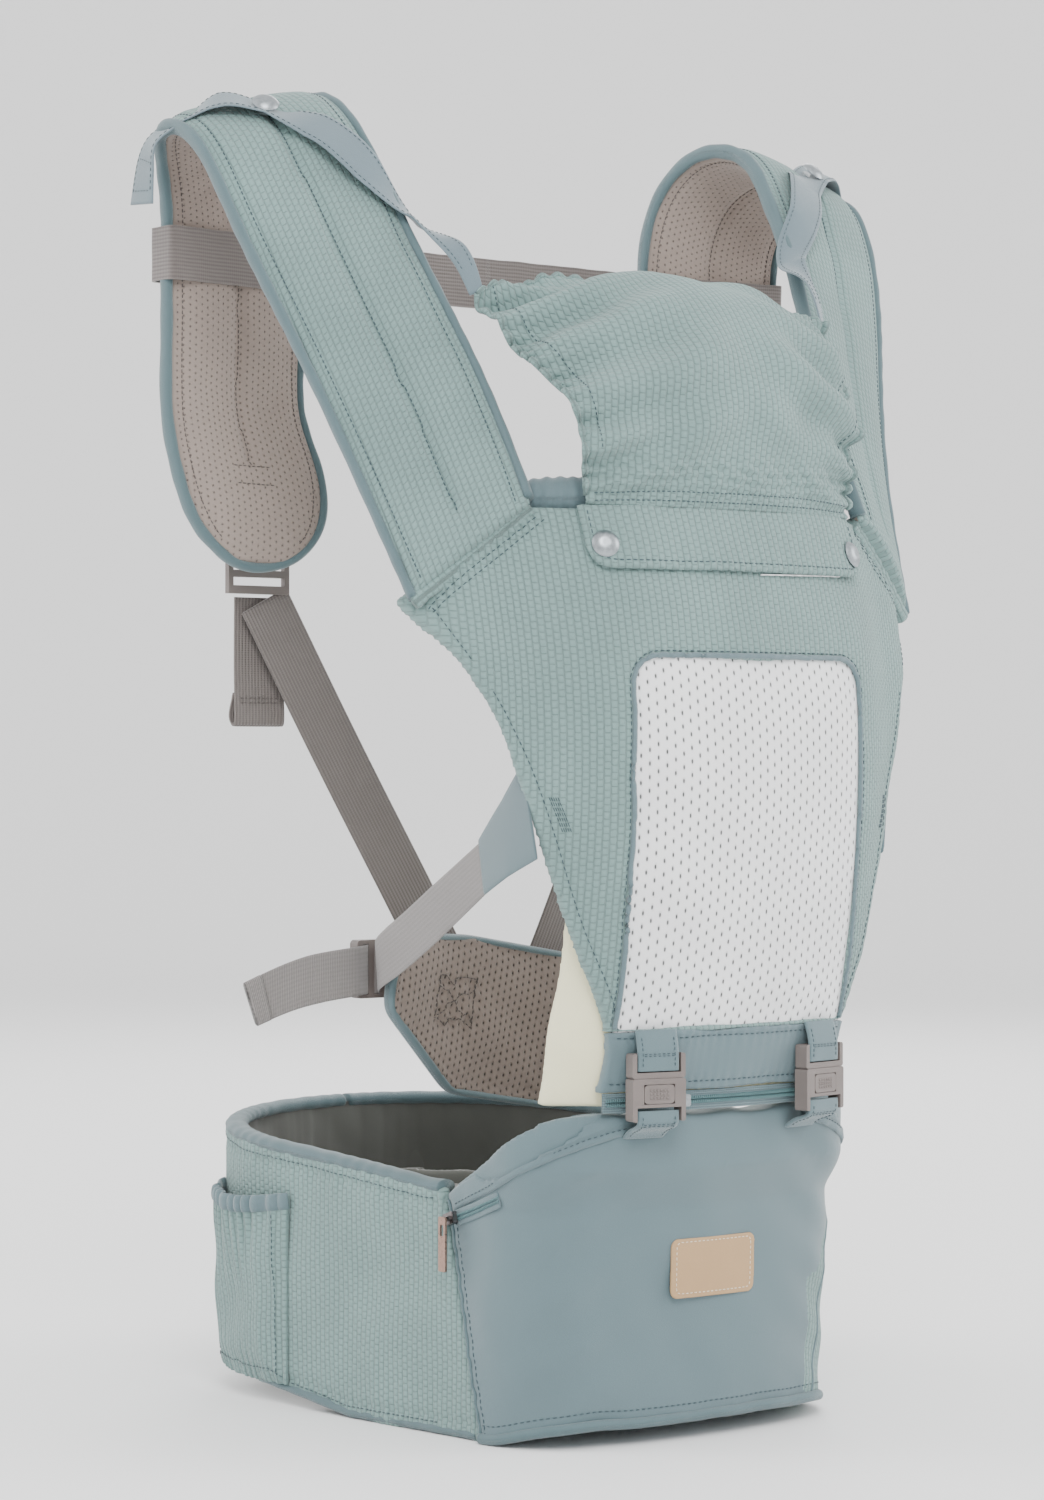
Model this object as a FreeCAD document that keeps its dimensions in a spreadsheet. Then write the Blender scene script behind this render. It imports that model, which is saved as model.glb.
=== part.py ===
import FreeCAD, Part

import math
import os

from FreeCAD import Placement, Rotation, Vector
from Sketcher import Constraint

# Soft baby carrier with a hip seat.  Millimetres, +Z up, the floor at z = 0, x = 0 the plane of
# symmetry.  The wearer stands inside the belt loop on the +Y side and the child sits on the -Y side.

doc = FreeCAD.newDocument("soft_baby_carrier")
sheet = doc.addObject("Spreadsheet::Sheet", "sizes")

SIZES = {
    # belt loop
    "belt_centre_y": 85.0,
    "belt_outer_a": 160.0,
    "belt_outer_b": 150.0,
    "belt_wall": 8.0,
    "belt_layer": 3.5,
    "lining_wall": 2.7,
    "belt_block": 190.0,
    "wrap_half": 60.0,
    # hip seat
    "seat_half_width": 132.0,
    "seat_front_y": -205.0,
    "seat_corner": 58.0,
    "seat_skin": 6.0,
    "seat_top_front": 205.0,
    "seat_top_rear": 148.0,
    # front panel
    "panel_apex_y": -241.5,
    "panel_apex_z": 425.0,
    "panel_wall": 6.0,
    "front_radius": 360.0,
    "wing_radius": 100.0,
    "panel_bottom": 256.0,
    "panel_top": 573.0,
    "band_bottom": 219.0,
    "mesh_wall": 3.0,
    # hood
    "flap_bottom": 535.0,
    "hood_line": 574.0,
    "hood_wall": 5.0,
    "hood_strap_width": 28.0,
    "hood_strap_wall": 1.6,
    # straps and webbing
    "pad_wall": 14.0,
    "back_webbing_width": 38.0,
    "side_webbing_width": 32.0,
    "chest_webbing_width": 34.0,
    "webbing_wall": 1.8,
    "chest_height": 742.0,
    # lumbar pad
    "lumbar_wall": 14.0,
    "lumbar_z": 252.0,
    "lumbar_y": 25.0,
    "lumbar_roll": 10.0,
    # side release buckles
    "release_width": 38.0,
    "release_wall": 10.0,
    "socket_length": 34.0,
    "plug_length": 22.0,
    "prong_length": 20.0,
    "prong_wall": 3.4,
    "prong_offset": 12.0,
    "slot_half": 16.6,
    # centre push buckles
    "push_width": 36.0,
    "push_wall": 10.0,
    "push_body": 17.5,
    "push_leg": 8.5,
    "push_fork": 15.0,
    "button_width": 20.4,
    "button_height": 11.4,
    "button_wall": 3.4,
    "button_gap": 0.3,
    # snaps
    "snap_radius": 8.5,
    "snap_dome": 3.6,
    "stud_radius": 6.0,
    "stud_wall": 1.6,
    # zips
    "slider_length": 11.0,
    "slider_width": 7.4,
    "slider_wall": 4.2,
    "pull_length": 34.0,
    "pull_width": 7.6,
    "pull_wall": 1.4,
}

for row, (name, value) in enumerate(SIZES.items(), 1):
    sheet.set("A%d" % row, name)
    sheet.set("B%d" % row, str(value))
    sheet.setAlias("B%d" % row, name)
doc.recompute()

nodes = []


def size(name):
    """One driving dimension, read back from the sheet."""
    return float(getattr(sheet, name))


def keep(item, label):
    """Give a document object its node name and put it on the list of sub-parts."""
    item.Label = label
    nodes.append(item)
    return item


def feature(label, shape):
    """A sub-part whose shape is made with Part's own functions."""
    item = doc.addObject("Part::Feature", label)
    item.Shape = shape
    return keep(item, label)


def group(label, items):
    """Several separate solids that share one node."""
    item = doc.addObject("Part::Compound", label)
    item.Links = items
    return keep(item, label)


# ---------------------------------------------------------------- plain solids from Part

def one_solid(shape):
    """The shape itself when it is a solid, else its only or largest solid."""
    solids = sorted(shape.Solids, key=lambda solid: solid.Volume)
    return solids[-1]


def box(low, high):
    """A box between two corners."""
    low = Vector(*low)
    high = Vector(*high)
    return Part.makeBox(high.x - low.x, high.y - low.y, high.z - low.z, low)


def prism(points, direction):
    """A polygon carried along a direction."""
    wire = Part.makePolygon([Vector(*p) for p in points] + [Vector(*points[0])])
    return Part.Face(wire).extrude(Vector(*direction))


def spline(points):
    """One smooth edge through the points."""
    curve = Part.BSplineCurve()
    curve.interpolate([Vector(*p) for p in points])
    return curve.toShape()


def line(start, end):
    """One straight edge."""
    return Part.LineSegment(Vector(*start), Vector(*end)).toShape()


def face_of(edges):
    """A flat face inside a loop of edges."""
    return Part.Face(Part.Wire(Part.__sortEdges__(edges)))


def surface_point(place, first, second, offset):
    """A point of the surface place(first, second), moved by offset along its outward normal."""
    step = 0.5
    along = place(first + step, second) - place(first - step, second)
    up = place(first, second + step) - place(first, second - step)
    normal = along.cross(up)
    normal.normalize()
    return place(first, second) + normal * offset


def between_surfaces(front, back):
    """A closed solid between two grids of points of the same size."""
    faces = []
    for grid in (front, back):
        skin = Part.BSplineSurface()
        skin.interpolate(grid)
        faces.append(skin.toShape())
    sides = []
    for near in faces[0].Edges:
        middle = near.valueAt((near.FirstParameter + near.LastParameter) / 2)
        far = min(faces[1].Edges, key=lambda edge: edge.valueAt(
            (edge.FirstParameter + edge.LastParameter) / 2).distanceToPoint(middle))
        sides.append(Part.makeRuledSurface(near, far))
    shell = Part.Shell(faces + sides)
    shell.sewShape()
    solid = Part.Solid(shell)
    if solid.Volume < 0:
        solid.reverse()
    return solid


def cloth(place, firsts, seconds, front, back):
    """Fabric on the surface place(first, second), between two offsets along its normal."""
    grids = []
    for offset in (front, back):
        grids.append([[surface_point(place, a, b, offset) for b in seconds] for a in firsts])
    return between_surfaces(grids[0], grids[1])


def spread(low, high, count):
    """Evenly spaced values from low to high."""
    return [low + (high - low) * i / (count - 1) for i in range(count)]


def ribbon_wires(stations, wall):
    """The cross sections of a flat band at stations of (middle, half width, outward normal)."""
    wires = []
    for middle, half, normal in stations:
        lift = Vector(*normal)
        lift.normalize()
        lift = lift * (wall / 2)
        middle = Vector(*middle)
        half = Vector(*half)
        corners = [middle - half - lift, middle + half - lift,
                   middle + half + lift, middle - half + lift]
        wires.append(Part.makePolygon(corners + corners[:1]))
    return wires


def ribbon(stations, wall):
    """A flat band lofted smoothly through its stations."""
    wires = ribbon_wires(stations, wall)
    return Part.makeLoft(wires, True, len(wires) == 2)


# ---------------------------------------------------------------- PartDesign helpers

def plane_of(body, role):
    """One of a body's own origin planes."""
    return [item for item in body.Origin.OriginFeatures if item.Role == role][0]


def new_sketch(body, role, name, lift=0.0):
    """An empty sketch on one of the body's origin planes, lifted along that plane's normal."""
    sketch = body.newObject("Sketcher::SketchObject", name)
    sketch.AttachmentSupport = [(plane_of(body, role), "")]
    sketch.MapMode = "FlatFace"
    sketch.AttachmentOffset = Placement(Vector(0, 0, lift), Rotation())
    return sketch


def rectangle(sketch, wide, high, centre_x=0.0, centre_y=0.0):
    """A rectangle whose width and height are cells of the sheet or expressions of them."""
    w = sheet_value(wide) / 2
    h = sheet_value(high) / 2
    corners = [(-w, -h), (w, -h), (w, h), (-w, h)]
    first = sketch.GeometryCount
    for i in range(4):
        a = corners[i]
        b = corners[(i + 1) % 4]
        start = Vector(centre_x + a[0], centre_y + a[1], 0)
        end = Vector(centre_x + b[0], centre_y + b[1], 0)
        sketch.addGeometry(Part.LineSegment(start, end), False)
    for i in range(4):
        sketch.addConstraint(Constraint("Coincident", first + i, 2, first + (i + 1) % 4, 1))
    for i in (0, 2):
        sketch.addConstraint(Constraint("Horizontal", first + i))
    for i in (1, 3):
        sketch.addConstraint(Constraint("Vertical", first + i))
    index = sketch.addConstraint(Constraint("DistanceX", first, 1, first, 2, 2 * w))
    sketch.setExpression("Constraints[%d]" % index, bound(wide))
    index = sketch.addConstraint(Constraint("DistanceY", first + 1, 1, first + 1, 2, 2 * h))
    sketch.setExpression("Constraints[%d]" % index, bound(high))
    index = sketch.addConstraint(Constraint("DistanceX", -1, 1, first, 1, centre_x - w))
    sketch.setExpression("Constraints[%d]" % index, "%s - (%s) / 2" % (centre_x, bound(wide)))
    index = sketch.addConstraint(Constraint("DistanceY", -1, 1, first, 1, centre_y - h))
    sketch.setExpression("Constraints[%d]" % index, "%s - (%s) / 2" % (centre_y, bound(high)))


def bound(text):
    """The expression with every sheet alias written as sizes.alias."""
    words = text.replace("(", " ( ").replace(")", " ) ").split()
    return " ".join("sizes." + word if word in SIZES else word for word in words)


def sheet_value(text):
    """The number that an expression of sheet aliases has now."""
    total = 0.0
    sign = 1.0
    factor = 1.0
    mode = "+"
    value = 0.0
    for word in text.split():
        if word in "+-*/" and len(word) == 1:
            mode = word
            continue
        factor = size(word) if word in SIZES else float(word)
        if mode == "+":
            total += sign * value
            value = factor
            sign = 1.0
        elif mode == "-":
            total += sign * value
            value = factor
            sign = -1.0
        elif mode == "*":
            value *= factor
        else:
            value /= factor
    return total + sign * value


def pad(body, sketch, name, length, midplane=False, backwards=False):
    """A Pad whose length is bound to the sheet."""
    item = body.newObject("PartDesign::Pad", name)
    item.Profile = sketch
    item.setExpression("Length", bound(length))
    item.Midplane = midplane
    item.Reversed = backwards
    sketch.Visibility = False
    return item


def pocket(body, sketch, name, length, midplane=True, backwards=False):
    """A Pocket whose depth is bound to the sheet."""
    item = body.newObject("PartDesign::Pocket", name)
    item.Profile = sketch
    item.setExpression("Length", bound(length))
    item.Midplane = midplane
    item.Reversed = backwards
    return item


def rounded(body, name, base, radius, pick):
    """A Fillet on the edges that pick accepts."""
    doc.recompute()
    names = ["Edge%d" % (i + 1) for i, edge in enumerate(base.Shape.Edges) if pick(edge)]
    item = body.newObject("PartDesign::Fillet", name)
    item.Base = (base, names)
    item.Radius = radius
    return item


def new_body(name, place=None):
    """An empty body at its place."""
    body = doc.addObject("PartDesign::Body", name)
    if place is not None:
        body.Placement = place
    return body


# ---------------------------------------------------------------- the two guiding surfaces

FRONT_ANGLE = math.radians(12)
WING_ANGLE = math.radians(34)
LOW_BULGE = 700.0
TOP_BULGE = 385.0


def across(x):
    """How far the panel falls back at a distance x from the middle: arc, tighter arc, flat wing."""
    x = abs(x)
    front = size("front_radius")
    wing = size("wing_radius")
    x1 = front * math.sin(FRONT_ANGLE)
    x2 = x1 + wing * (math.sin(WING_ANGLE) - math.sin(FRONT_ANGLE))
    y1 = front * (1 - math.cos(FRONT_ANGLE))
    y2 = y1 + wing * (math.cos(FRONT_ANGLE) - math.cos(WING_ANGLE))
    if x <= x1:
        return front - math.sqrt(front ** 2 - x ** 2)
    if x <= x2:
        turn = math.asin(math.sin(FRONT_ANGLE) + (x - x1) / wing)
        return y1 + wing * (math.cos(FRONT_ANGLE) - math.cos(turn))
    return y2 + (x - x2) * math.tan(WING_ANGLE)


def upright(z):
    """How far the panel falls back above and below its fullest height."""
    rise = z - size("panel_apex_z")
    radius = TOP_BULGE if rise > 0 else LOW_BULGE
    return radius - math.sqrt(radius ** 2 - rise ** 2)


def panel_surface(x, z):
    """A point of the panel's outer face."""
    return Vector(x, size("panel_apex_y") + across(x) + upright(z), z)


PANEL_EDGE = [(92, 219), (93, 254), (113.5, 306), (139, 384), (165, 456), (196, 516)]
SEAM_INNER_X = 131.0


def panel_outline(bottom, top):
    """The panel seen from the front, as a prism along Y."""
    deep = 400.0
    side = spline([(x, -deep, z) for x, z in PANEL_EDGE])
    other = spline([(-x, -deep, z) for x, z in PANEL_EDGE])
    low = PANEL_EDGE[0]
    corner = PANEL_EDGE[-1]
    edges = [line((-low[0], -deep, low[1]), (low[0], -deep, low[1])), side,
             line((corner[0], -deep, corner[1]), (SEAM_INNER_X, -deep, size("panel_top"))),
             line((SEAM_INNER_X, -deep, size("panel_top")), (-SEAM_INNER_X, -deep, size("panel_top"))),
             line((-SEAM_INNER_X, -deep, size("panel_top")), (-corner[0], -deep, corner[1])), other]
    whole = face_of(edges).extrude(Vector(0, 2 * deep, 0))
    return whole.common(box((-300, -deep, bottom), (300, deep, top)))


def window_outline():
    """The mesh window seen from the front: nearly straight sides and rounded top corners."""
    deep = 400.0
    bottom = 258.0
    top = 482.0
    half_low = 88.0
    half_top = 89.0
    corner = 16.0
    points = [(-half_low, -deep, bottom), (half_low, -deep, bottom), (half_top, -deep, top),
              (-half_top, -deep, top)]
    solid = prism(points, (0, 2 * deep, 0))
    upper = [edge for edge in solid.Edges
             if edge.Length > deep and edge.CenterOfMass.z > top - 1]
    return solid.makeFillet(corner, upper)


# ---------------------------------------------------------------- front panel

ACROSS = [-215, -180, -145, -115, -95, -70, -35, 0, 35, 70, 95, 115, 145, 180, 215]
UP = [210, 250, 300, 350, 400, 450, 500, 545, 590]

panel_sheet = cloth(panel_surface, ACROSS, UP, 0.0, -size("panel_wall"))
window = window_outline()
panel_body = panel_sheet.common(panel_outline(size("panel_bottom"), size("panel_top"))).cut(window)
feature("front_panel", one_solid(panel_body))

mesh_sheet = cloth(panel_surface, ACROSS, UP, -1.0, -1.0 - size("mesh_wall"))
feature("mesh_window", one_solid(mesh_sheet.common(window)))

band_sheet = cloth(panel_surface, ACROSS[3:-3], UP[:4], 0.6, -size("panel_wall"))
band_body = band_sheet.common(panel_outline(size("band_bottom"), size("panel_bottom")))
feature("panel_base_band", one_solid(band_body))

# neck roll behind the panel's top edge: a round bar that follows the panel

ROLL_RADIUS = 11.5
ROLL_HALF = 136.0
ROLL_HEIGHT = 580.0


def roll_path():
    """Arcs and lines parallel to the panel's plan, inside it by the roll's radius."""
    inside = size("panel_wall") + ROLL_RADIUS + 1.0
    front = size("front_radius") - inside
    wing = size("wing_radius") - inside
    start_y = size("panel_apex_y") + upright(size("panel_top")) + inside
    centre = Vector(0, start_y + front, ROLL_HEIGHT)

    def on_front(turn):
        return centre + Vector(front * math.sin(turn), -front * math.cos(turn), 0)

    joint = on_front(FRONT_ANGLE)
    hub = joint + Vector(-wing * math.sin(FRONT_ANGLE), wing * math.cos(FRONT_ANGLE), 0)

    def on_wing(turn):
        return hub + Vector(wing * math.sin(turn), -wing * math.cos(turn), 0)

    tip = on_wing(WING_ANGLE)
    run = ROLL_HALF - tip.x
    end = tip + Vector(run, run * math.tan(WING_ANGLE), 0)
    middle = (FRONT_ANGLE + WING_ANGLE) / 2

    def flip(point):
        return Vector(-point.x, point.y, point.z)

    edges = [line(flip(end), flip(tip)),
             Part.Arc(flip(tip), flip(on_wing(middle)), flip(joint)).toShape(),
             Part.Arc(flip(joint), on_front(0), joint).toShape(),
             Part.Arc(joint, on_wing(middle), tip).toShape(),
             line(tip, end)]
    return Part.Wire(edges), end


path, roll_end = roll_path()
heading = Vector(-1, -math.tan(WING_ANGLE), 0)
heading.normalize()
start = Vector(-roll_end.x, roll_end.y, roll_end.z)
disc = Part.Wire(Part.makeCircle(ROLL_RADIUS, start, Vector(heading.x, -heading.y, 0)))
feature("collar", one_solid(path.makePipeShell([disc], True, False)))

# cream guard behind the panel's lower half, standing out beyond its edges

GUARD_OFFSET = 7.0
GUARD_WALL = 5.0


def guard_surface(x, z):
    """The guard follows the panel inside it, and its sides turn back towards the wearer."""
    turn_x = 112.0
    point = panel_surface(x, z)
    over = max(0.0, abs(x) - turn_x)
    return point + Vector(0, over * over * 0.03, 0)


guard_sheet = cloth(guard_surface, [-130, -120, -108, -90, -60, -30, 0, 30, 60, 90, 108, 120, 130],
                    [200, 230, 260, 300, 340, 370], -GUARD_OFFSET, -GUARD_OFFSET - GUARD_WALL)
guard_points = [(-122, -400, 209), (122, -400, 209), (123, -400, 260), (121, -400, 322),
                (100, -400, 350), (-100, -400, 350), (-121, -400, 322), (-123, -400, 260)]
feature("leg_guard", one_solid(guard_sheet.common(prism(guard_points, (0, 800, 0)))))

# ---------------------------------------------------------------- hood

flap_sheet = cloth(panel_surface, spread(-118, 118, 9), [525, 545, 560, 580], 4.6, 0.6)
flap_body = flap_sheet.common(box((-106, -400, size("flap_bottom")), (106, 0, size("hood_line") - 1.2)))
feature("hood_flap", one_solid(flap_body))

HOOD_MIDDLE = [(-216.4, 574), (-224, 600), (-229, 630), (-224, 665), (-200, 700), (-160, 722),
               (-122, 723)]
HOOD_EDGE = [(103, -197.5, 574), (106, -200, 600), (109, -199, 625), (114, -188, 645),
             (124, -161, 667), (133, -144, 690), (139, -133, 704)]


def hood_point(u, row):
    """A point of the hood: u from -1 to 1 across, row down the two guiding lines."""
    y0, z0 = HOOD_MIDDLE[row]
    x1, y1, z1 = HOOD_EDGE[row]
    full = 2.4
    blend = abs(u) ** full
    return Vector(u * x1, y0 + (y1 - y0) * blend, z0 + (z1 - z0) * blend)


def hood_grids():
    """Outer and inner points of the hood."""
    us = spread(-1, 1, 13)
    rows = range(len(HOOD_MIDDLE))
    outer = [[hood_point(u, row) for row in rows] for u in us]
    inner = []
    for i, u in enumerate(us):
        line_points = []
        for row in rows:
            left = outer[max(i - 1, 0)][row]
            right = outer[min(i + 1, len(us) - 1)][row]
            below = outer[i][max(row - 1, 0)]
            above = outer[i][min(row + 1, len(HOOD_MIDDLE) - 1)]
            normal = (right - left).cross(above - below)
            if row == 0:
                normal.z = 0.0
            normal.normalize()
            line_points.append(outer[i][row] - normal * size("hood_wall"))
        inner.append(line_points)
    return outer, inner


hood_outer, hood_inner = hood_grids()
feature("hood", one_solid(between_surfaces(hood_outer, hood_inner)))

# ---------------------------------------------------------------- shoulder pads

# (outer edge, inner edge) of the strap, from the panel's seam over the shoulder and down the back
PAD_STATIONS = [
    ((196, -149, 517), (131.5, -180, 574.5)),
    ((214, -110, 600), (139, -133, 660)),
    ((237, -77, 680), (156, -87, 743)),
    ((260, -46, 755), (163, -47, 806)),
    ((270, -10, 808), (166, -11, 838)),
    ((269, 22, 814), (161, 25, 841)),
    ((257, 44, 797), (152, 54, 818)),
    ((250, 50, 768), (143, 62, 774)),
    ((250, 50, 735), (143, 62, 735)),
    ((250, 50, 690), (143, 62, 690)),
    ((250, 50, 645), (143, 61, 645)),
    ((243, 48, 603), (138, 44, 600)),
    ((226, 45, 565), (151, 35, 561)),
    ((205, 42, 547), (172, 38, 545)),
]
PAD_CROWN = 3.0
PAD_STEPS = 3


def curve_through(points, steps):
    """The points with evenly spread points of a smooth curve through them in between."""
    vectors = [Vector(*p) for p in points]
    curve = Part.BSplineCurve()
    parameters = [float(i) for i in range(len(vectors))]
    curve.interpolate(Points=vectors, Parameters=parameters)
    count = (len(vectors) - 1) * steps + 1
    return [curve.value(i / steps) for i in range(count)]


def pad_grids():
    """Front and back grids of the right shoulder pad."""
    shares = [0.0, 0.12, 0.5, 0.88, 1.0]
    middle = []
    outer_edge = curve_through([outer for outer, inner in PAD_STATIONS], PAD_STEPS)
    inner_edge = curve_through([inner for outer, inner in PAD_STATIONS], PAD_STEPS)
    for a, b in zip(outer_edge, inner_edge):
        middle.append([a + (b - a) * share for share in shares])
    last = len(middle) - 1
    outside = []
    inside = []
    for i, row in enumerate(middle):
        before = middle[max(i - 1, 0)]
        after = middle[min(i + 1, last)]
        out_row = []
        in_row = []
        normal = (after[2] - before[2]).cross(row[-1] - row[0])
        normal.normalize()
        for j, share in enumerate(shares):
            rim = 0.62 if j in (0, 4) else 1.0
            half = size("pad_wall") / 2 * rim
            crown = PAD_CROWN * (1 - (2 * share - 1) ** 2)
            out_row.append(row[j] + normal * (half + crown))
            in_row.append(row[j] - normal * half)
        outside.append(out_row)
        inside.append(in_row)
    return outside, inside


pad_outside, pad_inside = pad_grids()
pad_wires = []
for out_row, in_row in zip(pad_outside, pad_inside):
    ring = out_row + in_row[::-1]
    pad_wires.append(Part.makePolygon(ring + ring[:1]))
pad_right = one_solid(Part.makeLoft(pad_wires, True, True))


def mirrored(shape):
    """The same shape on the other side of x = 0."""
    return shape.mirror(Vector(0, 0, 0), Vector(1, 0, 0))


feature("shoulder_pad_right", pad_right)
feature("shoulder_pad_left", mirrored(pad_right))

outside_skin = Part.BSplineSurface()
outside_skin.interpolate(pad_outside)


def on_pad(point, lift):
    """The nearest point of the right pad's outer face, lifted off it, and the outward normal."""
    u, v = outside_skin.parameter(Vector(*point))
    normal = outside_skin.normal(u, v)
    middle = Vector(200, 0, 700)
    if normal.dot(outside_skin.value(u, v) - middle) < 0:
        normal = normal * -1
    return outside_skin.value(u, v) + normal * lift, normal


# hood straps: from the hood's tips over the pads to their outer sides
STRAP_LIFT = 4.4
FIRST_EXTRA = 1.6
STRAP_TOUCH = [(156, -84, 752), (176, -62, 782), (199, -42, 812), (222, -24, 824), (244, -4, 822),
               (262, 8, 816)]


def hood_strap():
    """The right hood strap as a ribbon that lies over the pad."""
    lifted = [on_pad(point, STRAP_LIFT) for point in STRAP_TOUCH]
    lifted[0] = on_pad(STRAP_TOUCH[0], STRAP_LIFT + FIRST_EXTRA)
    places = [(Vector(138, -134, 707), Vector(0.6, -0.65, 0.4)),
              (Vector(143.5, -114.5, 731), Vector(0.45, -0.72, 0.52))]
    places += lifted
    places += [(Vector(277, 20, 808), Vector(0.8, 0.1, 0.6)),
               (Vector(279.5, 27, 790), Vector(1, 0.1, 0.1)),
               (Vector(279.5, 30, 768), Vector(1, 0, 0))]
    stations = []
    count = len(places)
    for i, (middle, normal) in enumerate(places):
        run = places[min(i + 1, count - 1)][0] - places[max(i - 1, 0)][0]
        side = run.cross(normal)
        side.normalize()
        half = side * (size("hood_strap_width") / 2)
        stations.append((middle, half, normal))
    return ribbon(stations, size("hood_strap_wall"))


strap_right = hood_strap()
hood_straps = [doc.addObject("Part::Feature", "hood_strap_side") for side in range(2)]
hood_straps[0].Shape = strap_right
hood_straps[1].Shape = mirrored(strap_right)
group("hood_straps", hood_straps)

# ---------------------------------------------------------------- belt loop

BELT_TOP = [(-70, 153), (85, 168), (237, 177)]
BELT_LOW = [(0, 0), (85, 13), (237, 28)]
WING_Y = 65.0


def belt_point(turn, inset=0.0):
    """A point of the belt's outline, turn in radians from +X, moved inwards by inset."""
    a = size("belt_outer_a") - inset
    b = size("belt_outer_b") - inset
    return Vector(a * math.cos(turn), size("belt_centre_y") + b * math.sin(turn), 0)


def oval(inset):
    """An upright elliptic block of the belt's outline, moved inwards by inset."""
    centre = Vector(0, size("belt_centre_y"), -10)
    curve = Part.Ellipse(centre, size("belt_outer_a") - inset, size("belt_outer_b") - inset)
    face = Part.Face(Part.Wire(curve.toShape()))
    return face.extrude(Vector(0, 0, size("belt_block") + 20))


def belt_heights():
    """The belt's side view as a prism along X: arched rims, flat on the floor at the front."""
    wide = 400.0
    far = 260.0
    near = -260.0
    top = Part.Arc(*[Vector(-wide, y, z) for y, z in BELT_TOP]).toShape()
    low = Part.Arc(*[Vector(-wide, y, z) for y, z in BELT_LOW]).toShape()
    y0, z0 = BELT_TOP[0]
    y1, z1 = BELT_TOP[-1]
    y2, z2 = BELT_LOW[-1]
    y3, z3 = BELT_LOW[0]
    edges = [top, line((-wide, y1, z1), (-wide, far, z1)), line((-wide, far, z1), (-wide, far, z2)),
             line((-wide, far, z2), (-wide, y2, z2)), low, line((-wide, y3, z3), (-wide, near, z3)),
             line((-wide, near, z3), (-wide, near, z0)), line((-wide, near, z0), (-wide, y0, z0))]
    return face_of(edges).extrude(Vector(2 * wide, 0, 0))


belt_side = belt_heights()
SEAM_TOP_Y = -86.0
SEAM_LOW_Y = -122.0


def seam_cut(shift):
    """Everything in front of the slanting seam between the wings and the seat cover."""
    low = -20.0
    high = 220.0
    slope = (SEAM_TOP_Y - SEAM_LOW_Y) / size("seat_top_rear")
    y_low = SEAM_LOW_Y + slope * low + shift
    y_high = SEAM_LOW_Y + slope * high + shift
    points = [(-300, y_low, low), (-300, -400, low), (-300, -400, high), (-300, y_high, high)]
    return prism(points, (600, 0, 0))


def wing_outline(inset):
    """The belt's outline with straight sides that run forward to the seat, as a tall block."""
    a = size("belt_outer_a") - inset
    b = size("belt_outer_b") - inset
    centre_y = size("belt_centre_y")
    side_x = a * math.sqrt(1 - ((WING_Y - centre_y) / b) ** 2)
    front_x = size("seat_half_width") - 12.0 - inset
    front_y = SEAM_LOW_Y - 30.0
    back = Part.Arc(Vector(side_x, WING_Y, -10), Vector(0, centre_y + b, -10),
                    Vector(-side_x, WING_Y, -10))
    ellipse = Part.Ellipse(Vector(0, centre_y, -10), a, b)
    first = ellipse.parameter(Vector(side_x, WING_Y, -10))
    last = ellipse.parameter(Vector(-side_x, WING_Y, -10))
    if first > last:
        first -= 2 * math.pi
    curve = Part.ArcOfEllipse(ellipse, first, last).toShape()
    ends = [curve.Vertexes[0].Point, curve.Vertexes[-1].Point]
    right = max(ends, key=lambda p: p.x)
    left = min(ends, key=lambda p: p.x)
    edges = [curve, line(right, (front_x, front_y, -10)),
             line((front_x, front_y, -10), (-front_x, front_y, -10)),
             line((-front_x, front_y, -10), left)]
    return face_of(edges).extrude(Vector(0, 0, size("belt_block") + 20))


def wing_band(outer_inset, inner_inset):
    """A layer of the belt between two insets, without its front."""
    band = wing_outline(outer_inset).cut(wing_outline(inner_inset))
    band = band.cut(seam_cut(0))
    return band.common(belt_side)


wall = size("belt_wall")
layer = size("belt_layer")
wrap = size("wrap_half")
full_band = wing_band(0, wall)
outer_layer = wing_band(0, layer)
inner_layer = wing_band(wall - layer, wall)
back_y = size("belt_centre_y")
overlap = box((-wrap, back_y, -5), (wrap, 400, 260))
left_side = box((-300, -300, -5), (-wrap, 400, 260))
right_side = box((wrap, -300, -5), (300, 400, 260))

feature("belt_wing_left", one_solid(full_band.common(left_side).fuse(outer_layer.common(overlap))
                                    .removeSplitter()))
feature("belt_wing_right", one_solid(full_band.common(right_side).fuse(inner_layer.common(overlap))
                                     .removeSplitter()))

patch = box((-wrap + 6, back_y, 55), (wrap - 6, 400, 150))
middle_gap = (wall - 2 * layer) / 2
hook = wing_band(layer, layer + middle_gap).common(patch)
loop = wing_band(layer + middle_gap, wall - layer).common(patch)
pads = [doc.addObject("Part::Feature", "closure_side") for shape in (hook, loop)]
pads[0].Shape = one_solid(hook)
pads[1].Shape = one_solid(loop)
group("hook_and_loop", pads)

LINING_INSET = wall + 0.3
lining = oval(LINING_INSET).cut(oval(LINING_INSET + size("lining_wall"))).common(belt_side)
feature("belt_lining", one_solid(lining))

FRONT_PANEL_WALL = 5.5
FRONT_PANEL_Y = 20.0
front_part = box((-300, -300, -5), (300, FRONT_PANEL_Y, 260))
front_belt = oval(LINING_INSET - 0.3 - FRONT_PANEL_WALL).cut(oval(LINING_INSET - 0.3))
front_belt = front_belt.common(belt_side).common(front_part)
feature("belt_front_panel", one_solid(front_belt))

# pouch on the left wing: a bulging wall, two closed sides and a floor, open at the top

POUCH_LOW = 14.0
POUCH_TOP = 137.0
POUCH_BULGE = 13.0
POUCH_EDGE = 6.5
POUCH_GAP = 0.4
POUCH_WALL = 2.4
POUCH_TURNS = (math.radians(193), math.radians(153))


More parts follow.
